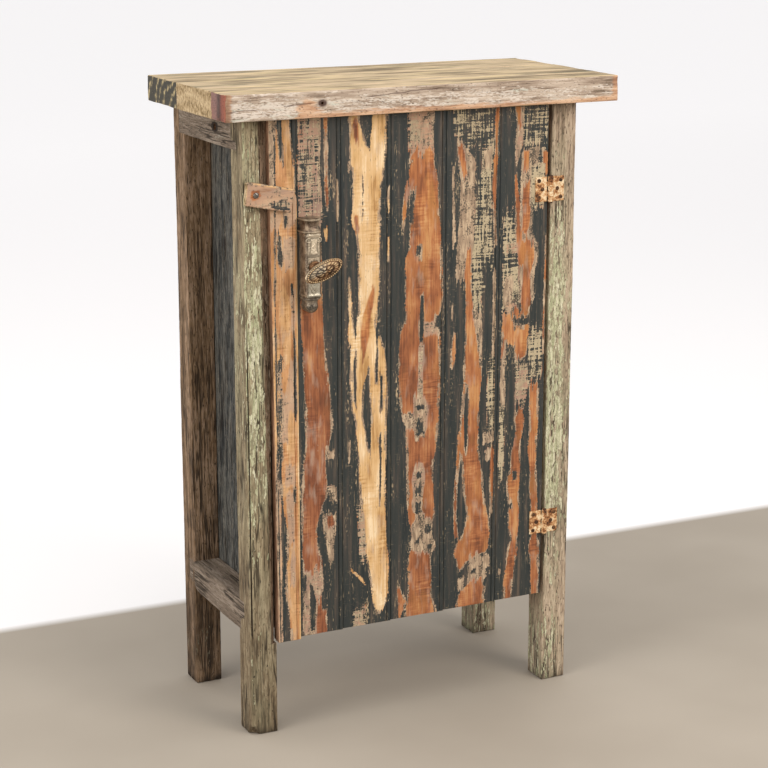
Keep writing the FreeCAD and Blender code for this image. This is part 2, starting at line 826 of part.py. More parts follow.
def handle_case():
    """The cast case: a hollow box with cut corners, a rimmed collar above and a rounded stub below."""
    x1 = case_left + case_width
    c = case_corner
    plan = [(case_left, 0), (case_left, c - case_depth), (case_left + c, -case_depth), (x1 - c, -case_depth),
            (x1, c - case_depth), (x1, 0)]
    z_stub = case_bottom_height - foot_rim_height - stub_length
    parts = [
        upright(plan, case_bottom_height, case_top_height),
        half_round(collar_rim_radius, case_top_height, case_top_height + collar_rim_height),
        half_round(collar_radius, case_top_height + collar_rim_height, handle_top_height - collar_rim_height),
        half_round(collar_rim_radius, handle_top_height - collar_rim_height, handle_top_height),
        half_round(collar_radius, case_bottom_height - foot_rim_height, case_bottom_height),
        half_round(stub_radius, z_stub, case_bottom_height - foot_rim_height),
        stub_end(z_stub),
    ]
    wall = case_wall
    pocket = box(case_left + wall, x1 - wall, wall - case_depth + spindle_radius, overrun,
                 case_bottom_height + 2 * case_bolt_inset, case_top_height - 2 * case_bolt_inset)
    bore = rod_y(case_middle, -case_depth - overrun, overrun, knob_height, spindle_radius + spindle_clearance)
    return cut_all(fuse_all(parts), [pocket, bore] + case_bolt_shanks())


def knob():
    """The oval knob with its neck and spindle, which passes through the case and the board."""
    center = Vector(case_middle, -knob_center_proud, knob_height)
    scale = FreeCAD.Matrix()
    scale.scale(knob_half_length, knob_half_thickness, knob_half_height)
    oval = Part.makeSphere(1).transformGeometry(scale)
    oval.rotate(Vector(0, 0, 0), AXIS_Y, knob_tilt)
    oval.translate(center)
    y_shoulder = -case_depth - spindle_face_gap
    y_neck = y_shoulder - knob_collar_height
    pieces = [
        oval,
        rod_y(case_middle, y_neck, y_shoulder, knob_height, knob_collar_radius),
        rod_y(case_middle, -knob_center_proud, y_neck, knob_height, knob_neck_radius),
        rod_y(case_middle, y_shoulder, catch_front, knob_height, spindle_radius),
    ]
    half = spindle_square / 2
    y_thread = catch_front + catch_thickness
    pieces.append(box(case_middle - half, case_middle + half, catch_front, y_thread, knob_height - half,
                      knob_height + half))
    pieces.append(rod_y(case_middle, y_thread, y_thread + catch_nut_height, knob_height, spindle_thread_radius))
    return fuse_all(pieces)


def door_catch():
    """The catch on the spindle's square: it hangs down, and a quarter turn brings it behind the keeper."""
    y0 = catch_front
    y1 = catch_front + catch_thickness
    half_width = catch_width / 2
    z_tip = knob_height - catch_reach
    blade = box(case_middle - half_width, case_middle + half_width, y0, y1, z_tip, knob_height)
    hub = rod_y(case_middle, y0, y1, knob_height, half_width)
    half = spindle_square / 2
    square = box(case_middle - half, case_middle + half, y0 - overrun, y1 + overrun, knob_height - half,
                 knob_height + half)
    return fuse_all([blade, hub]).cut(square)


def catch_nut():
    """The nut that holds the catch on the spindle."""
    y0 = catch_front + catch_thickness
    y1 = y0 + catch_nut_height
    r = catch_nut_radius
    turns = [radians(360 * i / nut_sides) for i in range(nut_sides)]
    corners = [(case_middle + r * cos(turn), knob_height + r * sin(turn)) for turn in turns]
    thread = rod_y(case_middle, y0 - overrun, y1 + overrun, knob_height, spindle_thread_radius)
    return facing(corners, y0, y1).cut(thread)


def keeper_screw_heights():
    """The heights of the keeper's two screws."""
    from_middle = keeper_height / 2 - keeper_screw_inset
    return (knob_height - from_middle, knob_height + from_middle)


def keeper_screw_shanks():
    """The shanks of the keeper's screws, into the side panel."""
    y = (keeper_front + keeper_back) / 2
    x0 = -panel_inside - keeper_screw_in_panel
    x1 = -panel_inside + keeper_width
    return [rod_x(x0, x1, y, z, keeper_screw_radius) for z in keeper_screw_heights()]


def keeper_screws():
    """The keeper's screws, with flat round heads."""
    y = (keeper_front + keeper_back) / 2
    x0 = -panel_inside + keeper_width
    x1 = x0 + keeper_screw_head_height
    screws = []
    for z, shank in zip(keeper_screw_heights(), keeper_screw_shanks()):
        screws.append(fuse_all([shank, rod_x(x0, x1, y, z, keeper_screw_head_radius)]))
    return Part.makeCompound(screws)


def keeper_block():
    """The wooden block that the catch turns behind."""
    block = box(-panel_inside, -panel_inside + keeper_width, keeper_front, keeper_back,
                knob_height - keeper_height / 2, knob_height + keeper_height / 2)
    return cut_all(block, keeper_screw_shanks())


# All the pieces by name
pieces = {
    "leg_front_left": leg(-1, True),
    "leg_front_right": leg(1, True),
    "leg_back_left": leg(-1, False),
    "leg_back_right": leg(1, False),
    "rail_dowels": Part.makeCompound(leg_dowels()),
    "top_dowels": Part.makeCompound(top_dowels()),
    "carcass_nails": carcass_nails(),
    "shelf_board": shelf_board(),
    "turn_button": turn_button(),
    "button_screw": button_screw(),
    "button_washer": button_washer(),
    "handle_case": handle_case(),
    "case_bolts": case_bolts(),
    "knob": knob(),
    "door_catch": door_catch(),
    "catch_nut": catch_nut(),
    "keeper_block": keeper_block(),
    "keeper_screws": keeper_screws(),
    "ledge_screws": Part.makeCompound(ledge_screws()),
}
for side, side_name in ((-1, "left"), (1, "right")):
    pieces["side_panel_" + side_name] = side_panel(side)
    pieces["shelf_cleat_" + side_name] = shelf_cleat(side)
    pieces["bottom_bearer_" + side_name] = bottom_bearer(side)
    for level in rail_levels():
        pieces["side_rail_" + level + "_" + side_name] = side_rail(side, level)
for level in rail_levels():
    pieces["front_rail_" + level] = cross_rail(True, level)
    pieces["back_batten_" + level] = cross_rail(False, level)
    pieces["door_ledge_" + level] = door_ledge(level)
for number, span in enumerate(back_board_spans(), 1):
    pieces["back_board_" + str(number)] = back_board(span)
for at_front, name in ((True, "front"), (False, "back")):
    pieces["bottom_board_" + name] = bottom_board(at_front)
for name in ("front", "middle", "back"):
    pieces["top_plank_" + name] = top_plank(name)
for number in range(1, len(board_edges())):
    pieces["door_board_" + str(number)] = door_board(number)
for place in hinge_levels():
    pieces["hinge_" + place + "_leg_leaf"] = hinge_leaf(place, 1)
    pieces["hinge_" + place + "_door_leaf"] = hinge_leaf(place, -1)
    pieces["hinge_" + place + "_pin"] = hinge_pin(place)
pieces["hinge_leg_screws"] = Part.makeCompound(
    [screw for place in hinge_levels() for screw in hinge_screw_set(place, 1)])
pieces["hinge_door_screws"] = Part.makeCompound(
    [screw for place in hinge_levels() for screw in hinge_screw_set(place, -1)])

# The origin lies on the floor under the middle of the whole cupboard
knob_front = -knob_center_proud - knob_half_thickness
to_origin = Vector(-(top_left + top_right) / 2, -(knob_front + top_back) / 2, 0)

os.makedirs("parts", exist_ok=True)
for node, shape in pieces.items():
    shape.translate(to_origin)
    shape.exportStep("parts/" + node + ".step")
    solids = len(shape.Solids)
    state = "valid" if shape.isValid() and solids else "NOT VALID"
    print(node, solids, "solids", round(shape.Volume / 1000, 1), "cm3", state)
print("moved by", round(to_origin.x, 3), round(to_origin.y, 3), "with", len(pieces), "nodes")
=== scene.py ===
# %% [markdown]
# A small cupboard of reclaimed timber. The working model already gives every piece its place and size. This
# script dresses it: worn, waney wood replaces the plain solids, the door gets its sanded-through paint, and
# the old iron and steel get their rust. All lengths here are millimetres in the drawing's own frame: X from
# the middle between the legs, Y going back from the legs' front faces, Z up from the floor.

from functools import partial
from math import cos, pi, radians, sin

import bmesh
import bpy
import numpy as np
from mathutils import Matrix, Vector, noise


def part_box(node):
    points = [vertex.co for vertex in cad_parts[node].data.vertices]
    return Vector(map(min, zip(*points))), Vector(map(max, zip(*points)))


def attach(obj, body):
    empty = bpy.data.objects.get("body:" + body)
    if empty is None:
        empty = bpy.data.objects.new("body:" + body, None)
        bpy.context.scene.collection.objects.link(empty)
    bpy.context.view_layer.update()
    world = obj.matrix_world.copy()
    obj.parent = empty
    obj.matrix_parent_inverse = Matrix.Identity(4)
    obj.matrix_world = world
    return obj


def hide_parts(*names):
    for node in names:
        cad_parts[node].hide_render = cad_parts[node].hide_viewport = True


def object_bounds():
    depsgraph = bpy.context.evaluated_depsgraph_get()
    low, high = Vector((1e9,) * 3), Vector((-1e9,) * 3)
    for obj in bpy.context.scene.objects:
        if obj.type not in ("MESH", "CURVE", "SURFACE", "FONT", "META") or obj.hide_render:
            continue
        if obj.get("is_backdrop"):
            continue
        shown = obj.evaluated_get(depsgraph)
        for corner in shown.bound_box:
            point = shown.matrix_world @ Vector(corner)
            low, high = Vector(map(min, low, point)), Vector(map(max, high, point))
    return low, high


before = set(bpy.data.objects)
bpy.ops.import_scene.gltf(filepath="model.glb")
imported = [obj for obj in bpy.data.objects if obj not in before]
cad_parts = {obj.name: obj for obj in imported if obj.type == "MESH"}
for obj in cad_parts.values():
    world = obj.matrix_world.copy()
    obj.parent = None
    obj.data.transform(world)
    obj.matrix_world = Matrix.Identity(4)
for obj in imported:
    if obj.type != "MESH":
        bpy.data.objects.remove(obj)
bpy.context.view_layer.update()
MM = 1000.0
leg_low, leg_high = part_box("leg_front_left"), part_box("leg_front_right")
ORIGIN = np.array([(leg_low[0].x + leg_high[1].x) / 2, leg_low[0].y, 0.0])


# %% [markdown]
# A piece of timber is a block whose skin is cut into a lattice of small quads. The lattice lines stand
# close together beside each arris, where wear rounds the wood, and even between. A subdivided cube would
# give the same faces, but its lines can't be placed, and the beads, rebates and cracks here need lines of
# their own.

# %% Block lattices
ARRIS_LINES = (0.0, 0.7, 1.5, 2.6, 4.0)


def block(node):
    """The lowest and highest corner of a working piece, in the drawing's millimetres."""
    low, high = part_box(node)
    return (np.array(low) - ORIGIN) * MM, (np.array(high) - ORIGIN) * MM


def lines(low, high, step, extra=()):
    """Lattice lines across one side: close together at both ends, even between, and some of their own."""
    length = high - low
    edge = np.array([t for t in ARRIS_LINES if t < length / 3])
    count = max(1, round((length - 2 * edge[-1]) / step))
    even = np.linspace(edge[-1], length - edge[-1], count + 1)
    own = np.array([t - low for t in extra if low < t < high])
    return low + np.unique(np.round(np.concatenate([edge, even, length - edge, own]), 3))


def lattice(xs, ys, zs):
    """The skin of a block cut along these lines, as points and as quads that face outwards."""
    outside = np.ones((len(xs), len(ys), len(zs)), bool)
    outside[1:-1, 1:-1, 1:-1] = False
    number = np.full(outside.shape, -1)
    number[outside] = np.arange(outside.sum())
    i, j, k = np.nonzero(outside)
    quads = []
    for axis in range(3):
        for end in (0, -1):
            sheet = np.take(number, end, axis)
            corners = (sheet[:-1, :-1], sheet[1:, :-1], sheet[1:, 1:], sheet[:-1, 1:])
            quad = np.stack(corners, -1).reshape(-1, 4)
            faces_out = (end == -1) != (axis == 1)
            quads.append(quad if faces_out else quad[:, ::-1])
    return np.column_stack([xs[i], ys[j], zs[k]]), np.concatenate(quads)


def drift(points, sizes, seed):
    """Smooth noise from -1 to 1 at each point, whose lumps have these sizes along X, Y and Z."""
    scaled = points / np.array(sizes, float) + seed * 7.31
    return np.array([noise.noise(p) for p in scaled])


def smooth(value, low, high):
    """0 below low, 1 above high, and a soft step between."""
    t = np.clip((value - low) / (high - low), 0.0, 1.0)
    return t * t * (3 - 2 * t)


def sink(points, skin, low, high, depth, axes=(0, 1, 2)):
    """Moves points straight in from the faces that they lie on. skin holds them before any wear."""
    moved = points.copy()
    for axis in axes:
        moved[:, axis] += np.where(skin[:, axis] < low[axis] + 0.01, depth, 0.0)
        moved[:, axis] -= np.where(skin[:, axis] > high[axis] - 0.01, depth, 0.0)
    return moved


def round_arrises(points, low, high, radius):
    """Rounds every arris of a block, by one radius or by one for each point."""
    moved = points.copy()
    radius = np.broadcast_to(np.asarray(radius, float), len(points))
    for a, b in ((0, 1), (1, 2), (0, 2)):
        for end_a in (1, -1):
            for end_b in (1, -1):
                corner_a = low[a] if end_a > 0 else high[a]
                corner_b = low[b] if end_b > 0 else high[b]
                u = radius - end_a * (moved[:, a] - corner_a)
                v = radius - end_b * (moved[:, b] - corner_b)
                reach = np.hypot(u, v)
                near = (u > 0) & (v > 0) & (reach > radius)
                pull = np.where(near, radius / np.maximum(reach, 1e-6), 1.0)
                moved[near, a] = (corner_a + end_a * (radius - u * pull))[near]
                moved[near, b] = (corner_b + end_b * (radius - v * pull))[near]
    return moved


def by_level(levels, z):
    """A value that changes along a piece, from pairs of level and value in rising order."""
    steps = sorted(levels)
    return np.interp(z, [level for level, _ in steps], [value for _, value in steps])


# %% Meshes and pieces
SHARP = radians(38)


def to_frame(points):
    """Drawing millimetres to the frame's metres."""
    return np.asarray(points, float) / MM + ORIGIN


def show(name, data):
    """A new object with this mesh, light or camera, in the scene."""
    thing = bpy.data.objects.new(name, data)
    bpy.context.scene.collection.objects.link(thing)
    return thing


def keep_fields(mesh, fields, kind="FLOAT", part="value", shape=()):
    """Stores fields on a mesh's points, from one value for all of them or one for each."""
    for field, values in fields.items():
        known = field in mesh.attributes
        store = mesh.attributes[field] if known else mesh.attributes.new(field, kind, "POINT")
        spread = np.broadcast_to(values, (len(mesh.vertices), *shape))
        store.data.foreach_set(part, spread.astype(np.float32).ravel())


def keep_result(thing):
    """Gives a piece the mesh that its modifiers make of it, and takes the modifiers away."""
    graph = bpy.context.evaluated_depsgraph_get()
    result = bpy.data.meshes.new_from_object(thing.evaluated_get(graph), depsgraph=graph)
    thing.modifiers.clear()
    thing.data = result


def plain_mesh(name, create, **sizes):
    """A new mesh from one of bmesh's plain shapes."""
    mesh = bpy.data.meshes.new(name)
    shape = bmesh.new()
    create(shape, **sizes)
    shape.to_mesh(mesh)
    shape.free()
    return mesh


def make(name, points, faces, finishes, fields=None, choose=None):
    """A new object from points and faces. choose gives each face its finish from its centre and normal."""
    mesh = bpy.data.meshes.new(name)
    mesh.from_pydata(to_frame(points).tolist(), [], [list(map(int, face)) for face in faces])
    mesh.validate()
    for finish in finishes:
        mesh.materials.append(finish)
    if choose:
        centres = np.array([p.center for p in mesh.polygons])
        normals = np.array([p.normal for p in mesh.polygons])
        which = choose((centres - ORIGIN) * MM, normals)
        mesh.polygons.foreach_set("material_index", np.asarray(which, np.int32))
    keep_fields(mesh, fields or {})
    mesh.shade_smooth()
    mesh.set_sharp_from_angle(angle=SHARP)
    return show(name, mesh)


def install(thing, body, nodes):
    """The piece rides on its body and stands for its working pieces."""
    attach(thing, body)
    if nodes:
        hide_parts(*nodes)
    print(thing.name, "on", body, "with", len(thing.data.polygons), "faces")


# %% [markdown]
# Every finish is built from nodes. One function adds a node with its settings and what feeds it, one turns
# hex colours into linear ones, and one makes noise whose lumps have real sizes, so that grain, pores and
# flakes have the scale that they have on the cupboard.

# %% Colours and nodes
# a Mix node's colour sockets, and the settings that make it mix colours
MIX_A, MIX_B = 6, 7
MIX = {"out": 2, "data_type": "RGBA"}
FIELD_OUT = 2


def colour(code):
    """A linear colour from an sRGB hex code."""
    parts = [int(code[i:i + 2], 16) / 255 for i in (1, 3, 5)]
    return (*[p / 12.92 if p <= 0.04045 else ((p + 0.055) / 1.055) ** 2.4 for p in parts], 1.0)


def add(tree, kind, feeds=(), out=0, stops=None, **settings):
    """Adds a node, sets its options, feeds its sockets and gives one output. kind may leave ShaderNode out.
    feeds are a dictionary or a list in the sockets' order, which for MapRange is the value, the two limits
    that it comes from and the two that it goes to. stops are a ramp's places and colours."""
    node = tree.nodes.new(kind if "Node" in kind else "ShaderNode" + kind)
    for name, value in settings.items():
        setattr(node, name, value)
    if stops:
        while len(node.color_ramp.elements) < len(stops):
            node.color_ramp.elements.new(1.0)
        for element, (position, code) in zip(node.color_ramp.elements, stops):
            element.position = position
            element.color = colour(code)
    for name, value in feeds.items() if isinstance(feeds, dict) else enumerate(feeds):
        if isinstance(value, bpy.types.NodeSocket):
            tree.links.new(value, node.inputs[name])
        else:
            node.inputs[name].default_value = value
    return node.outputs[out]


def lumps(put, where, sizes, seed=0.0, detail=2.0):
    """Noise from 0 to 1 whose lumps have these sizes in millimetres along X, Y and Z."""
    rates = tuple(MM / size for size in sizes)
    moved = put("VectorMath", [where, rates, (seed, seed * 1.7, seed * 0.6)], operation="MULTIPLY_ADD")
    return put("TexNoise", {"Vector": moved, "Scale": 1.0, "Detail": detail})


def on_board(put, where):
    """The place that a pattern is read from, moved by each board's own number so that no two boards match."""
    board = put("Attribute", out=FIELD_OUT, attribute_name="board")
    return put("VectorMath", [board, (0.37, 0.21, 0.53), where], operation="MULTIPLY_ADD")


def spotted(put, tone, pattern, low, high, most, code):
    """Lays a colour over a tone: nothing of it where a pattern is under low, and most of it from high on."""
    share = put("MapRange", [pattern, low, high, 0.0, most])
    return put("Mix", {0: share, MIX_A: tone, MIX_B: colour(code)}, **MIX)


def total(put, *patterns):
    """The sum of several patterns."""
    whole = patterns[0]
    for pattern in patterns[1:]:
        whole = put("Math", [whole, pattern], operation="ADD")
    return whole


def new_finish(name, roughness=0.8, metallic=0.0, specular=0.5):
    """An empty finish, the function that adds its nodes, and the place that its patterns are read from."""
    finish = bpy.data.materials.new(name)
    finish.use_nodes = True
    surface = finish.node_tree.nodes["Principled BSDF"].inputs
    surface["Roughness"].default_value = roughness
    surface["Metallic"].default_value = metallic
    surface["Specular IOR Level"].default_value = specular
    put = partial(add, finish.node_tree)
    return finish, put, put("TexCoord", out=3)


def dress(finish, tone, height, depth, rough=None):
    """Feeds a finish's colour, relief and roughness. depth is the relief's full height in millimetres."""
    tree = finish.node_tree
    surface = tree.nodes["Principled BSDF"].inputs
    bump = add(tree, "Bump", {"Height": height, "Distance": depth / MM, "Strength": 1.0})
    tree.links.new(tone, surface["Base Color"])
    tree.links.new(bump, surface["Normal"])
    if rough is not None:
        tree.links.new(rough, surface["Roughness"])
    return finish


# %% [markdown]
# The legs and rails are hardwood that stood outside for years: silvery grey-brown, open-grained, with dark
# checks along the grain and thin flakes of old pale paint. Long noise along the grain gives the tone, short
# hard-edged noise gives the checks, and a field called remains says where flakes of paint are left.

# %% Weathered timber
def weathered_timber(name, along, tones, flakes=("#a9ab88", "#c6c5a2", "#dad6b9"), checks=0.85, relief=0.8,
                     contrast=0.36, bloom=0.0, stripped_to=None, varied=0.0):
    """Grey, checked old wood. along is its grain's axis and tones its dark, middle and light wood. varied is
    how far one board is lighter or darker than the next."""
    finish, put, where = new_finish(name, roughness=0.88, specular=0.2)
    where = on_board(put, where)

    def grain(width, length, seed, detail=2.0):
        sizes = [width] * 3
        sizes[along] = length
        return lumps(put, where, sizes, seed, detail)

    def line_along(noise, width):
        """Thin lines where a noise crosses its middle value."""
        off = put("Math", [noise, 0.5], operation="SUBTRACT")
        off = put("Math", [off], operation="ABSOLUTE")
        return put("MapRange", [off, width, width * 0.3])

    remains = put("Attribute", out=FIELD_OUT, attribute_name="remains")
    soot = put("Attribute", out=FIELD_OUT, attribute_name="soot")
    broad = grain(18, 150, 1.0, 3.0)
    streak = grain(3.4, 70, 5.0, 3.0)
    fibre = grain(1.7, 15, 9.0, 3.0)
    both = total(put, broad, streak, fibre)
    if varied:
        board = put("Attribute", out=FIELD_OUT, attribute_name="board")
        own = put("TexWhiteNoise", {"W": board}, noise_dimensions="1D")
        own = put("MapRange", [own, 0.0, 1.0, -varied, varied])
        both = put("Math", [both, own], operation="ADD")
    shade = put("MapRange", [both, 1.5 - contrast, 1.5 + contrast])
    wood = put("ValToRGB", [shade],
               stops=[(0.0, tones[0]), (0.45, tones[1]), (0.8, tones[2]), (1.0, tones[1])])
    if bloom:
        patch = put("MapRange", [grain(14, 55, 51.0, 3.0), 0.4, 0.58, 0.45, 1.5])
        green = put("Math", [remains, bloom], operation="MULTIPLY")
        green = put("Math", [green, patch], operation="MULTIPLY", use_clamp=True)
        wood = put("Mix", {0: green, MIX_A: wood, MIX_B: colour("#a9a687")}, **MIX)

    if stripped_to:
        stripped = put("Attribute", out=FIELD_OUT, attribute_name="stripped")
        brown = put("Mix", {0: shade, MIX_A: colour(stripped_to[0]), MIX_B: colour(stripped_to[1])}, **MIX)
        wood = put("Mix", {0: stripped, MIX_A: wood, MIX_B: brown}, **MIX)

    # checks open along the grain, in some places only
    check = line_along(grain(6, 130, 31.0), 0.055)
    place = put("MapRange", [grain(25, 90, 35.0), 0.46, 0.56])
    check = put("Math", [check, place], operation="MULTIPLY")
    pit = put("MapRange", [grain(1.8, 7, 39.0), 0.62, 0.72])
    check = put("Math", [check, pit], operation="MAXIMUM")
    check_tone = put("Math", [check, checks], operation="MULTIPLY")
    wood = put("Mix", {0: check_tone, MIX_A: wood, MIX_B: colour("#261f18")}, **MIX)

    # flakes of old paint, crazed, with a painted shadow along the edge where they lifted
    flake = total(put, grain(8, 42, 13.0, 3.0), grain(2.6, 11, 17.0), remains)
    wood = spotted(put, wood, flake, 1.42, 1.5, 0.35, "#33291f")
    flake = put("MapRange", [flake, 1.5, 1.56])
    paint = put("ValToRGB", [grain(4, 30, 21.0, 3.0)],
                stops=[(0.36, flakes[0]), (0.5, flakes[1]), (0.62, flakes[2])])
    craze = line_along(grain(3.6, 9, 43.0), 0.045)
    craze = put("Math", [craze, 0.5], operation="MULTIPLY")
    paint = put("Mix", {0: craze, MIX_A: paint, MIX_B: colour("#5b523e")}, **MIX)
    cover = put("Math", [flake, 0.9], operation="MULTIPLY")
    tone = put("Mix", {0: cover, MIX_A: wood, MIX_B: paint}, **MIX)
    # soot and dirt darken the wood, and on the legs the same field lays painted shade under the top and in
    # the door's rebate
    grime_and_shade = put("Math", [grain(12, 40, 25.0), soot], operation="MULTIPLY")
    grime_and_shade = put("Math", [grime_and_shade, 1.5], operation="MULTIPLY", use_clamp=True)
    tone = put("Mix", {0: grime_and_shade, MIX_A: tone, MIX_B: colour("#2a2119")}, **MIX)
    ridge = put("Math", [streak, fibre], operation="ADD")
    ridge = put("Math", [ridge, check], operation="SUBTRACT")
    height = put("Math", [flake, 0.3, ridge], operation="MULTIPLY_ADD")
    return dress(finish, tone, height, relief)


# %% End grain
RING_WIDTH = 4.0


def end_grain(name, tones, across):
    """Sawn ends: growth rings round a heart outside the piece, and open pores."""
    finish, put, where = new_finish(name, roughness=0.9, specular=0.2)
    pull = [1.0, 1.0, 1.0]
    pull[across] = 0.02
    flat = put("VectorMath", [where, tuple(pull)], operation="MULTIPLY")
    moved = put("VectorMath", [flat, (0.03, 0.021, 0.06)], operation="ADD")
    rings = put("TexWave",
                {"Vector": moved, "Scale": MM / RING_WIDTH / 20, "Distortion": 3.0, "Detail": 2.0,
                 "Detail Scale": 1.2}, out=1, wave_type="RINGS", rings_direction="SPHERICAL")
    blotch = lumps(put, where, (6, 6, 6), 3.0, 3.0)
    both = put("Math", [rings, 0.18, blotch], operation="MULTIPLY_ADD")
    tone = put("ValToRGB", [both], stops=[(0.4, tones[0]), (0.58, tones[1]), (0.8, tones[2])])
    pores = put("MapRange",
                [lumps(put, where, (2.2, 2.2, 3.4), 8.0), 0.6, 0.68, 0.0, 0.8])
    tone = put("Mix", {0: pores, MIX_A: tone, MIX_B: colour("#3a2b20")}, **MIX)
    height = put("Math", [rings, pores], operation="SUBTRACT")
    return dress(finish, tone, height, 0.5)


# %% [markdown]
# The door was painted many times and then sanded flat, so each high spot shows the layers as rings: dark
# green-black on top, a thin grey-beige coat under it, and bare orange or cream wood in the middle. Painting
# such an edge with plain noise gives blobs in the wrong places. Here strokes say how far each
# point lies inside a bare spot, in millimetres, and the finish breaks the edge up with saw marks and grain.

# %% Sanded paint
def sanded_paint(name, along):
    """Dark top coat over a beige coat over bare wood, sanded through where the field bare rises above 0."""
    finish, put, where = new_finish(name, specular=0.35)
    bare, pale, veil, hatch = [put("Attribute", out=FIELD_OUT, attribute_name=field)
                               for field in ("bare", "pale", "veil", "hatch")]

    def cut(across, length, seed, detail=2.0):
        sizes = (across, 8.0, length) if along == 2 else (length, 8.0, across)
        return lumps(put, where, sizes, seed, detail)

    # how far inside a bare spot a point lies, once grain and saw marks have broken the spot's edge
    edge = bare
    for marks, reach in ((cut(4.5, 46, 2.0, 3.0), 8.0), (cut(12, 2.4, 4.0), 5.0), (cut(1.7, 3.4, 6.0), 5.0)):
        edge = put("Math", [marks, reach, edge], operation="MULTIPLY_ADD")
    edge = put("Math", [edge, 9.0], operation="SUBTRACT")
    # a plaid of saw marks and brush lines, each a long thin noise
    rows = cut(34, 2.7, 11.0, 1.0)
    columns = cut(2.9, 40, 15.0, 1.0)
    plaid = put("Math", [rows, columns], operation="ADD")
    plaid = put("MapRange", [plaid, 0.83, 1.17, -11.0, 11.0])
    broken = put("Math", [hatch, plaid, edge], operation="MULTIPLY_ADD")
    through = put("MapRange", [broken, -0.35, 0.35])

    # the beige coat shows as a rim, wide in some places and almost gone in others
    rim = put("MapRange", [cut(9, 40, 51.0, 3.0), 0.42, 0.6, 0.1, 4.6])
    depth = put("Math", [broken, rim], operation="SUBTRACT")
    to_wood = put("MapRange", [depth, -0.5, 0.6])
    veiled = total(put, cut(4, 22, 19.0, 4.0), cut(14, 3.0, 21.0), veil)
    veiled = put("MapRange", [veiled, 1.56, 1.4])
    to_wood = put("Math", [to_wood, veiled], operation="MULTIPLY")

    # bare wood: lines along the grain, slow clouds, short dark pores and the saw's comb across the grain
    line = cut(1.6, 60, 23.0, 3.0)
    sawn = put("MapRange", [cut(40, 70, 28.0), 0.48, 0.62])
    comb = put("Math", [cut(26, 3.1, 25.0, 1.0), 0.5], operation="SUBTRACT")
    comb = put("Math", [comb, sawn], operation="MULTIPLY")
    wood = put("Math", [line, 0.5, cut(17, 60, 27.0, 4.0)], operation="MULTIPLY_ADD")
    wood = put("Math", [comb, 0.5, wood], operation="MULTIPLY_ADD")
    wood = put("MapRange", [wood, 0.52, 0.98])
    rust = put("ValToRGB", [wood],
               stops=[(0.1, "#5f3825"), (0.4, "#7f4b31"), (0.65, "#965d3d"), (0.95, "#ad7a54")])
    orange = put("ValToRGB", [wood],
                 stops=[(0.1, "#7a4a2f"), (0.4, "#9e613a"), (0.62, "#b57647"), (0.95, "#cb9a65")])
    cream = put("ValToRGB", [wood],
                stops=[(0.05, "#ac8250"), (0.3, "#cfa772"), (0.65, "#dcb98a"), (0.95, "#ecd4ae")])
    orange = spotted(put, orange, cut(22, 80, 49.0, 3.0), 0.52, 0.62, 0.5, "#bb8347")
    to_rust = put("Math", [pale, -1.0], operation="MULTIPLY", use_clamp=True)
    to_cream = put("Math", [pale, 1.0], operation="MULTIPLY", use_clamp=True)
    wood_tone = put("Mix", {0: to_rust, MIX_A: orange, MIX_B: rust}, **MIX)
    wood_tone = put("Mix", {0: to_cream, MIX_A: wood_tone, MIX_B: cream}, **MIX)
    wood_tone = spotted(put, wood_tone, cut(1.4, 8, 29.0), 0.63, 0.72, 0.7, "#4c3120")
    haze = put("Math", [cut(10, 34, 45.0, 4.0), veil], operation="ADD")
    wood_tone = spotted(put, wood_tone, haze, 0.56, 0.78, 0.6, "#b19a88")

    # beige undercoat, greenish where it is hatched, specked with what is left of the top coat
    beige = put("ValToRGB", [cut(4, 16, 31.0, 4.0)],
                stops=[(0.34, "#7f6b58"), (0.5, "#a48c74"), (0.66, "#c2aa8d")])
    green = put("Math", [hatch, 1.1], operation="MULTIPLY", use_clamp=True)
    beige = put("Mix", {0: green, MIX_A: beige, MIX_B: colour("#b7a98a")}, **MIX)
    specks = put("Math", [cut(1.7, 2.6, 33.0), cut(8, 20, 34.0)], operation="ADD")
    beige = spotted(put, beige, specks, 1.08, 1.16, 0.85, "#34332e")

    # dark top coat: bluish black and brown in long patches, scratched most near the bare spots
    coat = put("ValToRGB", [cut(7, 130, 35.0, 4.0)],
               stops=[(0.3, "#23292a"), (0.5, "#303432"), (0.6, "#3d3a36"), (0.72, "#5a4f44")])
    dash = put("Math", [cut(1.5, 7, 55.0), cut(10, 90, 57.0, 3.0)], operation="ADD")
    hair = put("Math",
               [put("MapRange", [cut(1.3, 30, 39.0), 0.63, 0.72, 0, 0.6]),
                put("MapRange", [dash, 1.26, 1.33])], operation="MAXIMUM")
    scrape = put("MapRange", [cut(9, 1.6, 41.0), 0.65, 0.77, 0, 0.5])
    patchy = put("MapRange", [cut(20, 60, 47.0, 3.0), 0.42, 0.6])
    scrape = put("Math", [scrape, patchy], operation="MULTIPLY")
    scratch = put("Math", [hair, scrape], operation="MAXIMUM")
    near = put("MapRange", [broken, -11.0, -1.0, 0.5])
    scratch = put("Math", [scratch, near], operation="MULTIPLY")
    coat = put("Mix", {0: scratch, MIX_A: coat, MIX_B: colour("#c3ab88")}, **MIX)
    lower = put("Mix", {0: to_wood, MIX_A: beige, MIX_B: wood_tone}, **MIX)
    tone = put("Mix", {0: through, MIX_A: coat, MIX_B: lower}, **MIX)
    rough = put("MapRange", [through, 0.0, 1.0, 0.5, 0.72])
    step = put("Math", [through, to_wood], operation="ADD")
    height = put("Math", [line, step], operation="SUBTRACT")
    height = put("Math", [comb, 0.6, height], operation="MULTIPLY_ADD")
    return dress(finish, tone, height, 0.3, rough)


# %% [markdown]
# The top's planks differ: the upper faces are pale, washed-out softwood with brown streaks, the front edge
# is grey and salt-worn with some bare orange, and each plank's sawn end has kept another old colour.

# %% Top planks' finishes
CRACK_LEVEL = 0.9965


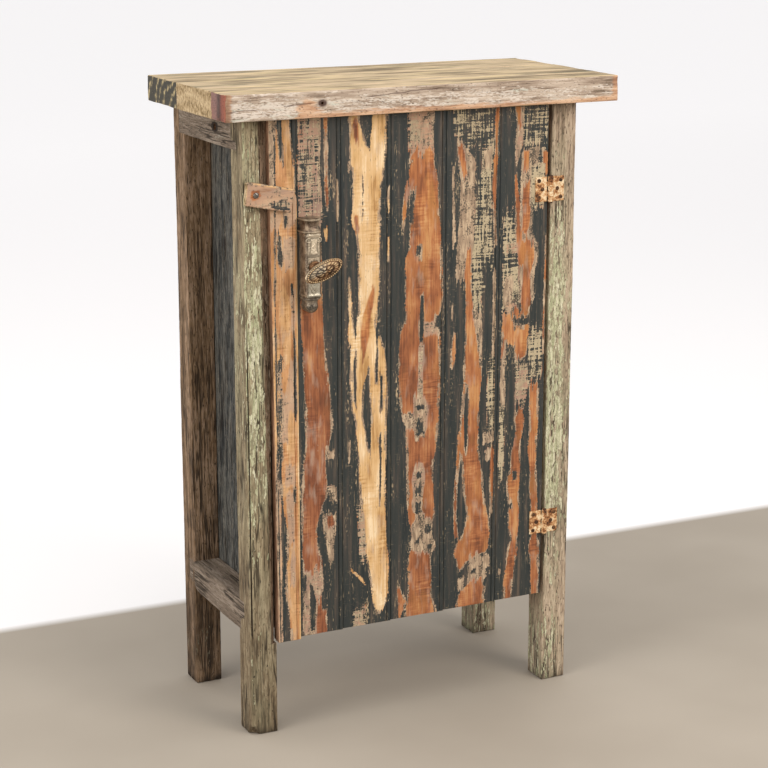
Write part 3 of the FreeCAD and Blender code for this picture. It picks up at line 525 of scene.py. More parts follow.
def bleached_top():
    """Pale, sanded softwood with long olive and brown bands along X and yellow ones between them."""
    finish, put, where = new_finish("bleached_softwood_top", roughness=0.75, specular=0.3)
    where = on_board(put, where)
    broad = lumps(put, where, (210, 30, 30), 2.0, 3.0)
    streak = lumps(put, where, (110, 8, 9), 6.0, 3.0)
    fine = lumps(put, where, (30, 2.4, 4), 9.0, 2.0)
    both = put("Math", [broad, streak], operation="ADD")
    both = put("MapRange", [both, 0.74, 1.26])
    tone = put("ValToRGB", [both],
               stops=[(0.0, "#64573f"), (0.25, "#89775a"), (0.45, "#ab9878"), (0.7, "#c8b18e"),
                      (1.0, "#bba58a")])
    tone = spotted(put, tone, lumps(put, where, (150, 22, 22), 15.0, 3.0), 0.54, 0.64, 0.6, "#dcc596")
    stain = put("Math", [lumps(put, where, (120, 24, 24), 21.0, 4.0), streak], operation="ADD")
    tone = spotted(put, tone, stain, 1.1, 1.2, 0.75, "#5f5c44")
    tone = spotted(put, tone, fine, 0.54, 0.7, 0.5, "#6d5f4b")
    height = put("Math", [streak, fine], operation="SUBTRACT")
    return dress(finish, tone, height, 0.4)


def salted_edge():
    """The front plank's face: brown-grey wood, whitish where salt rises, bare orange where bare does."""
    finish, put, where = new_finish("salted_grey_edge", roughness=0.85, specular=0.25)
    bare, soot, salted = [put("Attribute", out=FIELD_OUT, attribute_name=field)
                          for field in ("bare", "soot", "salt")]
    streak = lumps(put, where, (34, 2.4, 2.4), 2.0, 3.0)
    broad = lumps(put, where, (90, 12, 9), 5.0, 3.0)
    both = put("Math", [broad, streak], operation="ADD")
    both = put("MapRange", [both, 0.7, 1.3])
    wood = put("ValToRGB", [both],
               stops=[(0.0, "#776859"), (0.3, "#9d8b7a"), (0.6, "#b8a796"), (1.0, "#cabaa8")])
    crust = total(put, lumps(put, where, (22, 5, 3.4), 9.0, 4.0), lumps(put, where, (6, 2, 1.8), 12.0),
                  salted)
    crust = put("MapRange", [crust, 1.05, 1.22, 0.0, 0.8])
    chill = put("MapRange", [lumps(put, where, (60, 8, 8), 15.0), 0.54, 0.7])
    crust_tone = put("Mix", {0: chill, MIX_A: colour("#d9cfc3"), MIX_B: colour("#c4c8ba")}, **MIX)
    tone = put("Mix", {0: crust, MIX_A: wood, MIX_B: crust_tone}, **MIX)
    edge = put("Math", [lumps(put, where, (24, 4, 3), 19.0, 4.0), 12.0, bare], operation="MULTIPLY_ADD")
    orange = put("MapRange", [edge, 5.4, 8.4, 0.0, 0.8])
    worn = put("ValToRGB", [both], stops=[(0.0, "#9c7156"), (0.5, "#c39672"), (1.0, "#dab694")])
    tone = put("Mix", {0: orange, MIX_A: tone, MIX_B: worn}, **MIX)
    pits = put("MapRange", [lumps(put, where, (4.5, 1.7, 1.7), 23.0), 0.6, 0.7, 0.0, 0.65])
    # a long crack climbs a little towards the right, open in some places only
    climb = put("VectorMath", [where, (-0.062, 0.0, 1.0)], out=1, operation="DOT_PRODUCT")
    climb = put("Math", [lumps(put, where, (30, 9, 9), 27.0), 0.006, climb], operation="MULTIPLY_ADD")
    climb = put("Math", [climb, CRACK_LEVEL], operation="SUBTRACT")
    climb = put("Math", [climb], operation="ABSOLUTE")
    crack = put("MapRange", [climb, 0.0011, 0.0004])
    opened = put("MapRange", [lumps(put, where, (70, 30, 30), 29.0), 0.46, 0.52, 0.0, 0.6])
    crack = put("Math", [crack, opened], operation="MULTIPLY")
    dark = put("Math", [pits, soot], operation="MAXIMUM")
    dark = put("Math", [dark, crack], operation="MAXIMUM")
    tone = put("Mix", {0: dark, MIX_A: tone, MIX_B: colour("#3d231c")}, **MIX)
    height = put("Math", [streak, dark], operation="SUBTRACT")
    return dress(finish, tone, height, 0.6)


def painted_end(name, ground, marks, seed, mark_width=5.0, heart=(0.0, 0.0, 0.0), share=0.62, bands=None):
    """A sawn end that kept old paint: a ground colour with streaks of others round a heart, and bands."""
    finish, put, where = new_finish(name, roughness=0.7, specular=0.35)
    moved = put("VectorMath", [where, tuple(-value for value in heart)], operation="ADD")
    swirl = put("TexWave",
                {"Vector": moved, "Scale": MM / mark_width / 20, "Distortion": 6.0, "Detail": 2.0,
                 "Detail Scale": 1.6, "Phase Offset": seed}, out=1, wave_type="RINGS", rings_direction="X")
    patch = lumps(put, where, (7, 7, 9), seed, 4.0)
    both = put("Math", [swirl, 0.4, patch], operation="MULTIPLY_ADD")
    tone = put("ValToRGB", [both],
               stops=[(share - 0.2, ground), (share, ground), (share + 0.14, marks[0]),
                      (share + 0.3, marks[1])])
    tone = spotted(put, tone, lumps(put, where, (2, 2, 3), seed + 5.0), 0.6, 0.7, 0.6, marks[0])
    if bands:
        across = put("SeparateXYZ", {"Vector": where}, out=1)
        across = put("Math", [lumps(put, where, (4, 4, 20), seed + 9.0), 0.012, across],
                     operation="MULTIPLY_ADD")
        across = put("MapRange", [across, bands[0], bands[1]])
        band = put("ValToRGB", [across], stops=bands[2])
        tone = put("Mix", {0: 0.75, MIX_A: tone, MIX_B: band}, **MIX)
    tone = spotted(put, tone, lumps(put, where, (2, 2, 2.4), seed + 3.0), 0.6, 0.7, 1.0, "#231b16")
    return dress(finish, tone, both, 0.4)


# %% [markdown]
# The case and knob are cast iron with a brown patina that has been rubbed bright on high spots, with painted
# highlights, painted shade and, on the knob, a painted cool reflection laid over it. The hinges are mild
# steel that has rusted yellow and orange and pitted. Screws are darker, with dull slots.

# %% Metals
def patinated_iron(name, tones, shine_tone):
    """Cast iron, browned by age: lighter where rubbed and where a highlight is painted, black with soot in
    its hollows and with painted shade, and bluish with its bloom and, on the knob, a painted cool reflection.
    """
    finish, put, where = new_finish(name, roughness=0.4, metallic=0.7)
    rub, soot, cold = [put("Attribute", out=FIELD_OUT, attribute_name=field)
                       for field in ("rub", "soot", "cold")]
    blotch = lumps(put, where, (8, 8, 10), 3.0, 4.0)
    speck = lumps(put, where, (2.0, 2.0, 2.4), 7.0, 3.0)
    tone = put("ValToRGB", [blotch], stops=[(0.34, tones[0]), (0.5, tones[1]), (0.66, tones[2])])
    # rubbed wear and painted highlights lighten the iron
    worn = put("Math", [speck, rub], operation="ADD")
    tone = spotted(put, tone, worn, 0.6, 1.4, 0.95, shine_tone)
    # a bluish bloom, and on the knob a painted cool reflection
    blue = put("Math", [cold, blotch], operation="MULTIPLY")
    tone = put("Mix", {0: blue, MIX_A: tone, MIX_B: colour("#8fa3a0")}, **MIX)
    # soot in the hollows and painted shade blacken the iron
    black = put("Math", [soot, 0.85], operation="MULTIPLY", use_clamp=True)
    tone = put("Mix", {0: black, MIX_A: tone, MIX_B: colour("#1d1611")}, **MIX)
    rough = put("MapRange", [blotch, 0.3, 0.7, 0.26, 0.5])
    height = put("Math", [blotch, speck], operation="ADD")
    return dress(finish, tone, height, 0.6, rough)


def rusted_steel(name, tones, seed=1.0):
    """Rust in patches: dark pits, orange ground and powdery yellow bloom."""
    finish, put, where = new_finish(name, roughness=0.85, metallic=0.15, specular=0.3)
    patch = lumps(put, where, (13, 13, 13), seed, 3.0)
    pit = lumps(put, where, (2.6, 2.6, 2.6), seed + 4.0, 2.0)
    both = put("Math", [pit, 0.5, patch], operation="MULTIPLY_ADD")
    tone = put("ValToRGB", [both],
               stops=[(0.56, tones[0]), (0.66, tones[1]), (0.76, tones[2]), (0.9, tones[3])])
    return dress(finish, tone, both, 0.6)


def plain_finish(name, tones, sizes, roughness, metallic=0.0):
    """A quiet finish for small or hidden pieces: two tones in lumps of the given sizes."""
    finish, put, where = new_finish(name, roughness, metallic, 0.4)
    patch = lumps(put, where, sizes, 2.0, 4.0)
    tone = put("ValToRGB", [patch], stops=[(0.35, tones[0]), (0.65, tones[1])])
    return dress(finish, tone, patch, 0.2)


# %% All the finishes
leg_wood = weathered_timber("weathered_green_flaked_leg", 2, ("#453829", "#7f6d55", "#ab9c80"), bloom=0.75)
pale_leg_wood = weathered_timber("weathered_pale_leg", 2, ("#5d4f43", "#9f8a75", "#c6b29b"), bloom=0.6)
dark_leg_wood = weathered_timber("weathered_dark_leg", 2, ("#46372a", "#82694f", "#aa9078"),
                                 flakes=("#8b7d66", "#a3967c", "#b9ae94"))
rail_wood = weathered_timber("weathered_rail", 1, ("#4d4237", "#7b6d5f", "#9f9182"),
                             flakes=("#80776a", "#948b7d", "#a8a092"), contrast=0.5)
beam_wood = weathered_timber("weathered_cross_rail", 0, ("#443628", "#75634d", "#9d8b6f"))
pink_rebate = weathered_timber("pinkish_rubbed_rebate", 2, ("#57473a", "#86705a", "#a88e76"),
                               flakes=("#8a7763", "#9b8871", "#ab9883"))
pink_side = weathered_timber("pinkish_rubbed_side", 2, ("#5f4636", "#8f6c55", "#b38e73"), checks=0.6)
panel_paint = weathered_timber("blue_grey_painted_panel", 2, ("#23272a", "#4d504f", "#7d7a72"),
                               flakes=("#6d6a62", "#7f7b70", "#8f897c"), checks=0.8, contrast=0.24,
                               stripped_to=("#3a2d22", "#7d6a54"))
back_wood = weathered_timber("weathered_back_board", 2, ("#463b2f", "#6f6252", "#94866e"))
INSIDE = {"tones": ("#7c6044", "#a5855f", "#c2a37a"), "checks": 0.35, "relief": 0.4, "contrast": 0.45,
          "varied": 0.2}
inside_upright = weathered_timber("unpainted_inside_upright", 2, **INSIDE)
inside_level = weathered_timber("unpainted_inside_level", 0, **INSIDE)
sawn_end = end_grain("sawn_grey_end", ("#453a2d", "#7a6a53", "#a0907a"), 2)
sawn_level_end = end_grain("sawn_pale_end", ("#84704f", "#ab9573", "#c4af8c"), 0)
door_end = end_grain("sawn_door_end", ("#5e4431", "#96754f", "#bb9a6c"), 2)
door_paint = sanded_paint("sanded_layered_paint", 2)
button_paint = sanded_paint("sanded_button_paint", 0)
top_wood = bleached_top()
edge_wood = salted_edge()
back_end = painted_end("dark_painted_end", "#38362e", ("#6b6149", "#b3a279"), 3.0, 3.0,
                       heart=(0.0, 0.02, 0.9), share=0.72)
front_end = painted_end("maroon_painted_end", "#7a5c54", ("#5b4137", "#9a6448"), 6.0, 14.0,
                        heart=(0.0, -0.2, 1.06),
                        bands=(-0.140, -0.085,
                               [(0.0, "#a9643f"), (0.2, "#93503a"), (0.38, "#7a4030"), (0.5, "#3a2824"),
                                (0.64, "#463531"), (0.78, "#86655f")]))
case_iron = patinated_iron("patinated_case_iron", ("#382b22", "#6b594b", "#94826c"), "#d6c7ae")
knob_iron = patinated_iron("rubbed_knob_iron", ("#3d291c", "#6f4f35", "#966f4d"), "#d9bd92")
hinge_rust = rusted_steel("yellow_rusted_hinge", ("#4a3324", "#96643f", "#c99c6c", "#ead7b4"))
screw_rust = rusted_steel("dark_rusted_screw", ("#1f1814", "#3b2a20", "#5a3f2c", "#7c5a3c"), 5.0)
screw_steel = plain_finish("dull_screw_steel", ("#5c5853", "#8d8780"), (2, 2, 2), 0.4, 0.9)
catch_steel = plain_finish("dark_catch_steel", ("#3a3530", "#5a524a"), (4, 4, 4), 0.45, 0.9)
dowel_wood = plain_finish("turned_dowel_wood", ("#9c7a52", "#c09d6f"), (2, 2, 20), 0.8)
print("finishes:", len(bpy.data.materials))


# %% [markdown]
# Legs, rails, panels and boards are all the same job: a lattice block whose arrises are rounded by uneven
# wear, whose faces are sunk a little by slow noise along the grain, and which takes its wood finish along
# the grain and its end grain on the sawn ends. One function makes them, and a table says how each differs.

# %% The timber maker
def ends_by(axis):
    """Gives finish 1 to the faces that look along one axis, and finish 0 to the rest."""
    return lambda centres, normals: (np.abs(normals[:, axis]) > 0.75).astype(int)


def timber(node, body, finishes, along, step, wear=2.0, dip=0.5, seed=1.0, extra=((), (), ()),
           shape=None, fields=None, choose=None, bounds=None):
    """A worn piece of wood in the place and size of a working piece, whose grain runs along one axis."""
    low, high = bounds or block(node)
    skin, quads = lattice(*[lines(low[a], high[a], step[a], extra[a]) for a in range(3)])
    lump = np.array([18.0, 18.0, 18.0])
    lump[along] = 120.0
    radius = wear * (1 + 0.7 * drift(skin, lump, seed) + 0.5 * drift(skin, (9, 9, 9), seed + 2))
    points = round_arrises(skin, low, high, np.clip(radius, 0.35, wear * 2.2))
    depth = np.clip(dip * (0.5 + drift(skin, lump * 1.3, seed + 4)), 0.02, dip * 1.6)
    points = sink(points, skin, low, high, depth)
    if shape:
        shape(points, skin, low, high)
    values = fields(skin, low, high) if fields else {}
    values["board"] = seed
    thing = make(node + "_worn", points, quads, finishes, values, choose or ends_by(along))
    install(thing, body, [node])
    return thing


def cut_with(thing, tool):
    """Cuts a tool's mesh out of a piece with the boolean modifier, and keeps the cut mesh."""
    cutter = show("cutter", tool)
    cut = thing.modifiers.new("cut", "BOOLEAN")
    cut.object = cutter
    cut.operation = "DIFFERENCE"
    cut.solver = "EXACT"
    cut.material_mode = "TRANSFER"
    keep_result(thing)
    bpy.data.objects.remove(cutter)
    bpy.data.meshes.remove(tool)


def bore(thing, centre, along, radius, depth, seed, fields, low, high):
    """Cuts a round blind hole into a piece, and gives its points their fields again."""
    turn = Vector((0, 0, 1)).rotation_difference(Vector(along)).to_matrix().to_4x4()
    middle = Matrix.Translation(to_frame(centre))
    drill = plain_mesh("drill", bmesh.ops.create_cone, cap_ends=True, segments=28, radius1=radius / MM,
                       radius2=radius / MM, depth=2 * depth / MM, matrix=middle @ turn)
    drill.materials.append(screw_rust)
    cut_with(thing, drill)
    points = (np.array([vert.co for vert in thing.data.vertices]) - ORIGIN) * MM
    keep_fields(thing.data, fields(points, low, high) | {"board": seed})


# %% [markdown]
# Each leg kept a different amount of old paint: the two front legs show pale green and cream flakes, thick
# in the middle of the right one, and the back legs are brown and nearly bare. The front left leg has a
# rebate for the door and a long check beside its outer arris, and its foot has lost a corner.

# %% Legs
LEG_STEP = (4, 4, 9)
CHECK_X = -279.6
REMAINS = {
    "leg_front_left": ((0, 0.36), (60, 0.44), (150, 0.4), (300, 0.4), (420, 0.52), (560, 0.58), (720, 0.58),
                       (800, 0.4), (900, 0.46), (960, 0.34)),
    "leg_front_right": ((0, 0.42), (60, 0.46), (130, 0.36), (230, 0.36), (280, 0.6), (420, 0.64), (520, 0.58),
                        (640, 0.6), (720, 0.54), (800, 0.36), (960, 0.2)),
    "leg_back_left": ((0, 0.3), (90, 0.34), (130, 0.16), (960, 0.18)),
    "leg_back_right": ((0, 0.46), (130, 0.4), (960, 0.2)),
}


def leg_fields(node):
    """How much paint is left on each point of a leg, and how dark it is made by soot and by painted shade."""
    def fields(skin, low, high):
        x, y, z = skin.T
        remains = by_level(REMAINS[node], z)
        # darker at the foot, a band of painted shade just under the top, and the back right leg darker all
        # over
        soot = 0.5 * smooth(-z, -16, -2) + 0.35 * smooth(z, 925, 958) + 0.22 * (node == "leg_back_right")
        if node == "leg_front_right":
            remains -= 0.22 * smooth(x, 262, 272)
            # the upper part darker
            soot += 0.14 * smooth(z, 780, 860)
        if node == "leg_front_left":
            remains -= 0.24 * smooth(y, 0.5, 3)
            remains -= 0.16 * smooth(-z, -330, -200) + 0.08 * smooth(x, -267, -259) * (y < 1)
            # darker below about 300 mm, and the side face a little darker
            soot += 0.3 * smooth(-z, -330, -200) + 0.05 * smooth(y, 0.5, 3)
            # painted shade in the corner of the door's rebate
            rebate_shade = by_level(((150, 0.15), (350, 0.36), (700, 0.36), (880, 0.08), (950, -0.1)), z)
            soot += rebate_shade * smooth(x, -258, -250) * smooth(y, -1, 14)
            opened = by_level(((150, 0.0), (180, 1.0), (540, 1.0), (700, 0.0)), z)
            soot += 1.6 * opened * (np.abs(x - CHECK_X) < 0.9) * (y < 4)
        if node == "leg_back_left":
            # darker all over, and more towards the bottom
            soot += 0.25 + 0.45 * smooth(-z, -350, -60)
        return {"remains": remains, "soot": soot}
    return fields


REBATE_X, REBATE_DEPTH, REBATE_FOOT = -252.0, 12.0, 147.0
REBATE_WALL = ((0, REBATE_X), (REBATE_FOOT, -244.5), (960, -256.0))


def leg_faces(centres, normals):
    """End grain on the sawn ends and rubbed pinkish wood in the front left leg's rebate."""
    which = ends_by(2)(centres, normals)
    x, y, z = centres.T
    wall = by_level(REBATE_WALL, z)
    which[(x > wall - 0.1) & (y < REBATE_DEPTH + 0.5) & (z > REBATE_FOOT)] = 2
    return which


def front_left_shape(points, skin, low, high):
    """Gives the leg its rebate along the inner front arris, its long check and its foot's lost corner."""
    x, y, z = skin.T
    inside = (x > REBATE_X) & (z > REBATE_FOOT)
    points[:, 1] += 1.8 * (y < 0.1) * (z > REBATE_FOOT) * smooth(x, REBATE_X - 4.5, REBATE_X)
    points[:, 1] = np.where(inside & (points[:, 1] < REBATE_DEPTH), REBATE_DEPTH, points[:, 1])
    # the rebate's side leans, so the lattice lines beside it are drawn along with it
    wall = by_level(REBATE_WALL, z)
    points[:, 0] = np.where(points[:, 0] < REBATE_X,
                            low[0] + (points[:, 0] - low[0]) * (wall - low[0]) / (REBATE_X - low[0]),
                            high[0] - (high[0] - points[:, 0]) * (high[0] - wall) / (high[0] - REBATE_X))
    split = (np.abs(x - CHECK_X) < 0.2) & (y < 0.1)
    points[split, 1] += 3.2 * by_level(((150, 0.0), (190, 1.0), (520, 1.0), (690, 0.4), (720, 0.0)),
                                       z[split])
    lost = smooth(-z, -17, 0) * smooth(-np.hypot(x - low[0], y - low[1]), -14, -3)
    points[:, 2] += 15 * lost


leg_lines = {"leg_front_left": ((CHECK_X - 1.6, CHECK_X - 0.7, CHECK_X, CHECK_X + 0.7, CHECK_X + 1.6,
                                 REBATE_X - 2.5, REBATE_X - 1.0, REBATE_X, REBATE_X + 0.3), (REBATE_DEPTH,),
                                (REBATE_FOOT, REBATE_FOOT + 0.3))}
for number, node in enumerate(REMAINS):
    wood = {"leg_front_left": leg_wood, "leg_back_left": dark_leg_wood}.get(node, pale_leg_wood)
    rebated = node == "leg_front_left"
    timber(node, "carcass", [wood, sawn_end, pink_rebate], 2, LEG_STEP, wear=2.6,
           dip=0.9, seed=3.0 + number, extra=leg_lines.get(node, ((), (), ())), fields=leg_fields(node),
           choose=leg_faces if rebated else ends_by(2), shape=front_left_shape if rebated else None)

# %% [markdown]
# The side rails are flush with the legs' outer faces. The lower left one was cut from the outside of a log,
# so its back corner is missing, and the upper left one has an old bolt hole. Both are cut here as on the
# real wood.

# %% Rails and battens
def waney(points, skin, low, high):
    """The lower left rail's missing lower back corner, a soft curve instead of an arris."""
    outer = smooth(-skin[:, 0], -(low[0] + 26), -(low[0] + 18))
    along = smooth(skin[:, 1], high[1] - 44, high[1] - 2)
    floor = low[2] + 16 * along * outer
    points[:, 2] = np.maximum(points[:, 2], floor)


def sooty(amount, remains=0.12):
    """The same paint and dirt all over a piece."""
    return lambda skin, low, high: {"soot": amount, "remains": remains}


# how far back, how far under the rail's top, radius and depth
BOLT_HOLE, BOLT_RADIUS, BOLT_DEPTH = (108.0, 21.0), 5.0, 22.0


def bolt_stained(skin, low, high):
    """A rail's soot, and the black stain round its old bolt hole."""
    away = np.hypot(0.6 * (skin[:, 1] - BOLT_HOLE[0]), skin[:, 2] - high[2] + BOLT_HOLE[1])
    return {"soot": 0.25 + 2.4 * smooth(-away, -8.5, -6), "remains": 0.3}


for number, node in enumerate(("side_rail_bottom_left", "side_rail_bottom_right", "side_rail_top_left",
                               "side_rail_top_right")):
    holed = node == "side_rail_top_left"
    seed = 12.0 + number
    rail = timber(node, "carcass", [rail_wood, sawn_end], 1,
                  (5, 4 if holed else 9, 3), wear=2.2, dip=0.8, seed=seed,
                  fields=bolt_stained if holed else sooty(0.25, 0.16),
                  shape=waney if node == "side_rail_bottom_left" else None)
    if holed:
        low, high = block(node)
        bore(rail, (low[0], BOLT_HOLE[0], high[2] - BOLT_HOLE[1]), (1, 0, 0), BOLT_RADIUS, BOLT_DEPTH, seed,
             bolt_stained, low, high)

for number, node in enumerate(("front_rail_bottom", "front_rail_top", "back_batten_bottom",
                               "back_batten_top")):
    timber(node, "carcass", [beam_wood, sawn_end], 0, (14, 6, 6), wear=1.6,
           seed=20.0 + number, fields=sooty(0.3))

# %% [markdown]
# The side panels stand behind the rails, blue-grey outside and stripped brown beside the back legs. The back
# is four plain boards. No paint ever reached their inner faces, so each face that looks into the cupboard
# takes the inside's bare wood instead.

# %% Side panels and back boards
def inner_face(axis, way):
    """Finish 1 on the face that looks into the cupboard, finish 0 on the rest."""
    return lambda centres, normals: (way * normals[:, axis] < -0.5).astype(int)


def panel_fields(skin, low, high):
    """A side panel's soot, and how far its paint is stripped beside the back leg."""
    edge = by_level(((150, 3), (960, 25)), skin[:, 2])
    return sooty(0.3, 0.3)(skin, low, high) | {"stripped": smooth(skin[:, 1] - (high[1] - edge), -5, 5)}


for number, (side, way) in enumerate((("left", -1), ("right", 1))):
    timber("side_panel_" + side, "carcass", [panel_paint, inside_upright], 2, (6, 5, 14),
           wear=0.8, dip=0.4, seed=30.0 + number, fields=panel_fields, choose=inner_face(0, way))
for number in range(1, 5):
    timber(f"back_board_{number}", "carcass", [back_wood, inside_upright], 2, (10, 6, 22),
           wear=1.2, seed=34.0 + number, fields=sooty(0.15), choose=inner_face(1, 1))

# %% [markdown]
# The bottom and the shelf, what bears them, and the keeper block are plain timbers. They differ only in
# wood, grain and wear, so a table lists them and one loop makes them.

# %% Plain timbers inside
# pieces, wood, sawn ends, the grain's axis, lattice steps, wear and the first piece's seed
PLAIN_TIMBERS = (
    ("bottom_board_front bottom_board_back shelf_board", inside_level, sawn_level_end, 0, (18, 10, 6), 1.0,
     40.0),
    ("bottom_bearer_left bottom_bearer_right shelf_cleat_left shelf_cleat_right", rail_wood, sawn_end, 1,
     (6, 12, 6), 1.0, 44.0),
    ("keeper_block", inside_upright, sawn_end, 2, (4, 4, 5), 1.4, 49.0),
)
for nodes, wood, ends, along, step, wear, seed in PLAIN_TIMBERS:
    for number, node in enumerate(nodes.split()):
        timber(node, "carcass", [wood, ends], along, step, wear, seed=seed + number)

# %% [markdown]
# The top is three thick planks with rubbed arrises. The front one has the deepest wear at its left corner,
# a nail hole with a dark stain, and bare orange wood along its lower edge.

# %% Top planks
TOP_STEP = (11, 8, 5)
NAIL_HOLE, NAIL_RADIUS, NAIL_DEPTH = (-165.0, 981.0), 2.2, 18.0
FRONT_SEED = 51.0


def edge_fields(skin, low, high):
    """Bare wood low on the front face, salt in its middle, and the stain round the nail hole."""
    x, y, z = skin.T
    low_strip = by_level(((-318, -8), (-207, -8), (-202, 5.0), (-100, 2.0), (40, 3.5), (200, 1.5), (342, 3)),
                         x)
    strip = low_strip - (z - low[2]) * 0.75 + 4
    arris = 9 - (high[0] - x) * 0.8
    patch = 7 - np.abs(x + 188) * 0.35 - np.abs(z - 974) * 0.35
    left = 10 - (x - low[0]) * 0.9
    bare = np.maximum.reduce([strip, arris, patch, left, np.full(len(x), -9.0)])
    stain = 0.92 * smooth(-np.hypot(0.75 * (x - NAIL_HOLE[0]), z - NAIL_HOLE[1]), -6.8, -4.2)
    stain = np.maximum(stain, 0.55 * smooth(low[0] - x, -13, -4))
    salt = by_level(((low[2], 0.0), (low[2] + 6, 0.1), (low[2] + 24, 0.12), (low[2] + 32, -0.12)), z)
    salt = salt + 0.1 * smooth(-x, 190, 215) - 0.08 * smooth(x, 150, 220)
    return {"bare": np.clip(bare, -9, 9), "soot": stain, "salt": salt}


def plank_faces(centres, normals):
    """Finish 0 on top and below, 1 on the two sawn ends and 2 on the plank's long sides."""
    which = np.zeros(len(normals), int)
    which[np.abs(normals[:, 0]) > 0.7] = 1
    which[np.abs(normals[:, 1]) > 0.7] = 2
    return which


def worn_corner(points, skin, low, high):
    """The front plank's rounded, knocked left corner."""
    reach = np.hypot(skin[:, 0] - low[0], skin[:, 1] - low[1])
    knock = smooth(-reach, -11, 0) * (0.4 + 0.6 * smooth(skin[:, 2], low[2] + 24, high[2]))
    points[:, 0] += 3.0 * knock
    points[:, 1] += 3.0 * knock


front_plank = timber("top_plank_front", "carcass", [top_wood, front_end, edge_wood], 0,
                     TOP_STEP, wear=2.6, dip=0.7, seed=FRONT_SEED, fields=edge_fields, choose=plank_faces,
                     shape=worn_corner,
                     extra=(NAIL_HOLE[0] + np.arange(-10.5, 12, 3.0), (),
                            NAIL_HOLE[1] + np.arange(-8, 9, 2.0)))
low, high = block("top_plank_front")
bore(front_plank, (NAIL_HOLE[0], low[1], NAIL_HOLE[1]), (0, 1, 0), NAIL_RADIUS, NAIL_DEPTH, FRONT_SEED,
     edge_fields, low, high)
timber("top_plank_middle", "carcass", [top_wood, sawn_level_end, top_wood], 0, TOP_STEP,
       wear=1.6, dip=0.6, seed=52.0, choose=plank_faces)
timber("top_plank_back", "carcass", [top_wood, back_end, edge_wood], 0, TOP_STEP, wear=2.6,
       dip=0.7, seed=53.0, choose=plank_faces)

# %% [markdown]
# The door's paint is laid on as a painter would: strokes in order, each with its tone and its left and
# right edge at a few levels. Every stroke was chosen on the photographed door, which leans a little,
# so one function stands it upright. A point's fields say how deep it lies inside a bare spot and what shows
# there.

# %% Paint strokes
# pale, veil and hatch of each tone, and how deep its bare spots go at most, in millimetres
TONES = {"orange": (0.0, 0.0, 0.0, 12), "amber": (0.5, 0.05, 0.0, 12), "cream": (1.0, 0.0, 0.0, 12),
         "beige": (0.2, 1.0, 0.05, 12), "greyed": (0.1, 0.5, 0.05, 12), "hazed": (0.2, 0.38, 0.0, 12),
         "hatched": (0.2, 0.85, 0.75, 5.0), "filmed": (0.1, 0.85, 0.7, -1.5),
         "mottled": (0.15, 0.5, 0.45, 5.5), "brown": (-0.8, 0.1, 0.0, 12), "rubbed": (0.25, 0.3, 0.0, 12),
         "scuffed": (-0.8, 0.38, 0.5, 4.0), "coat": None}
TOP, FOOT = 975, 130
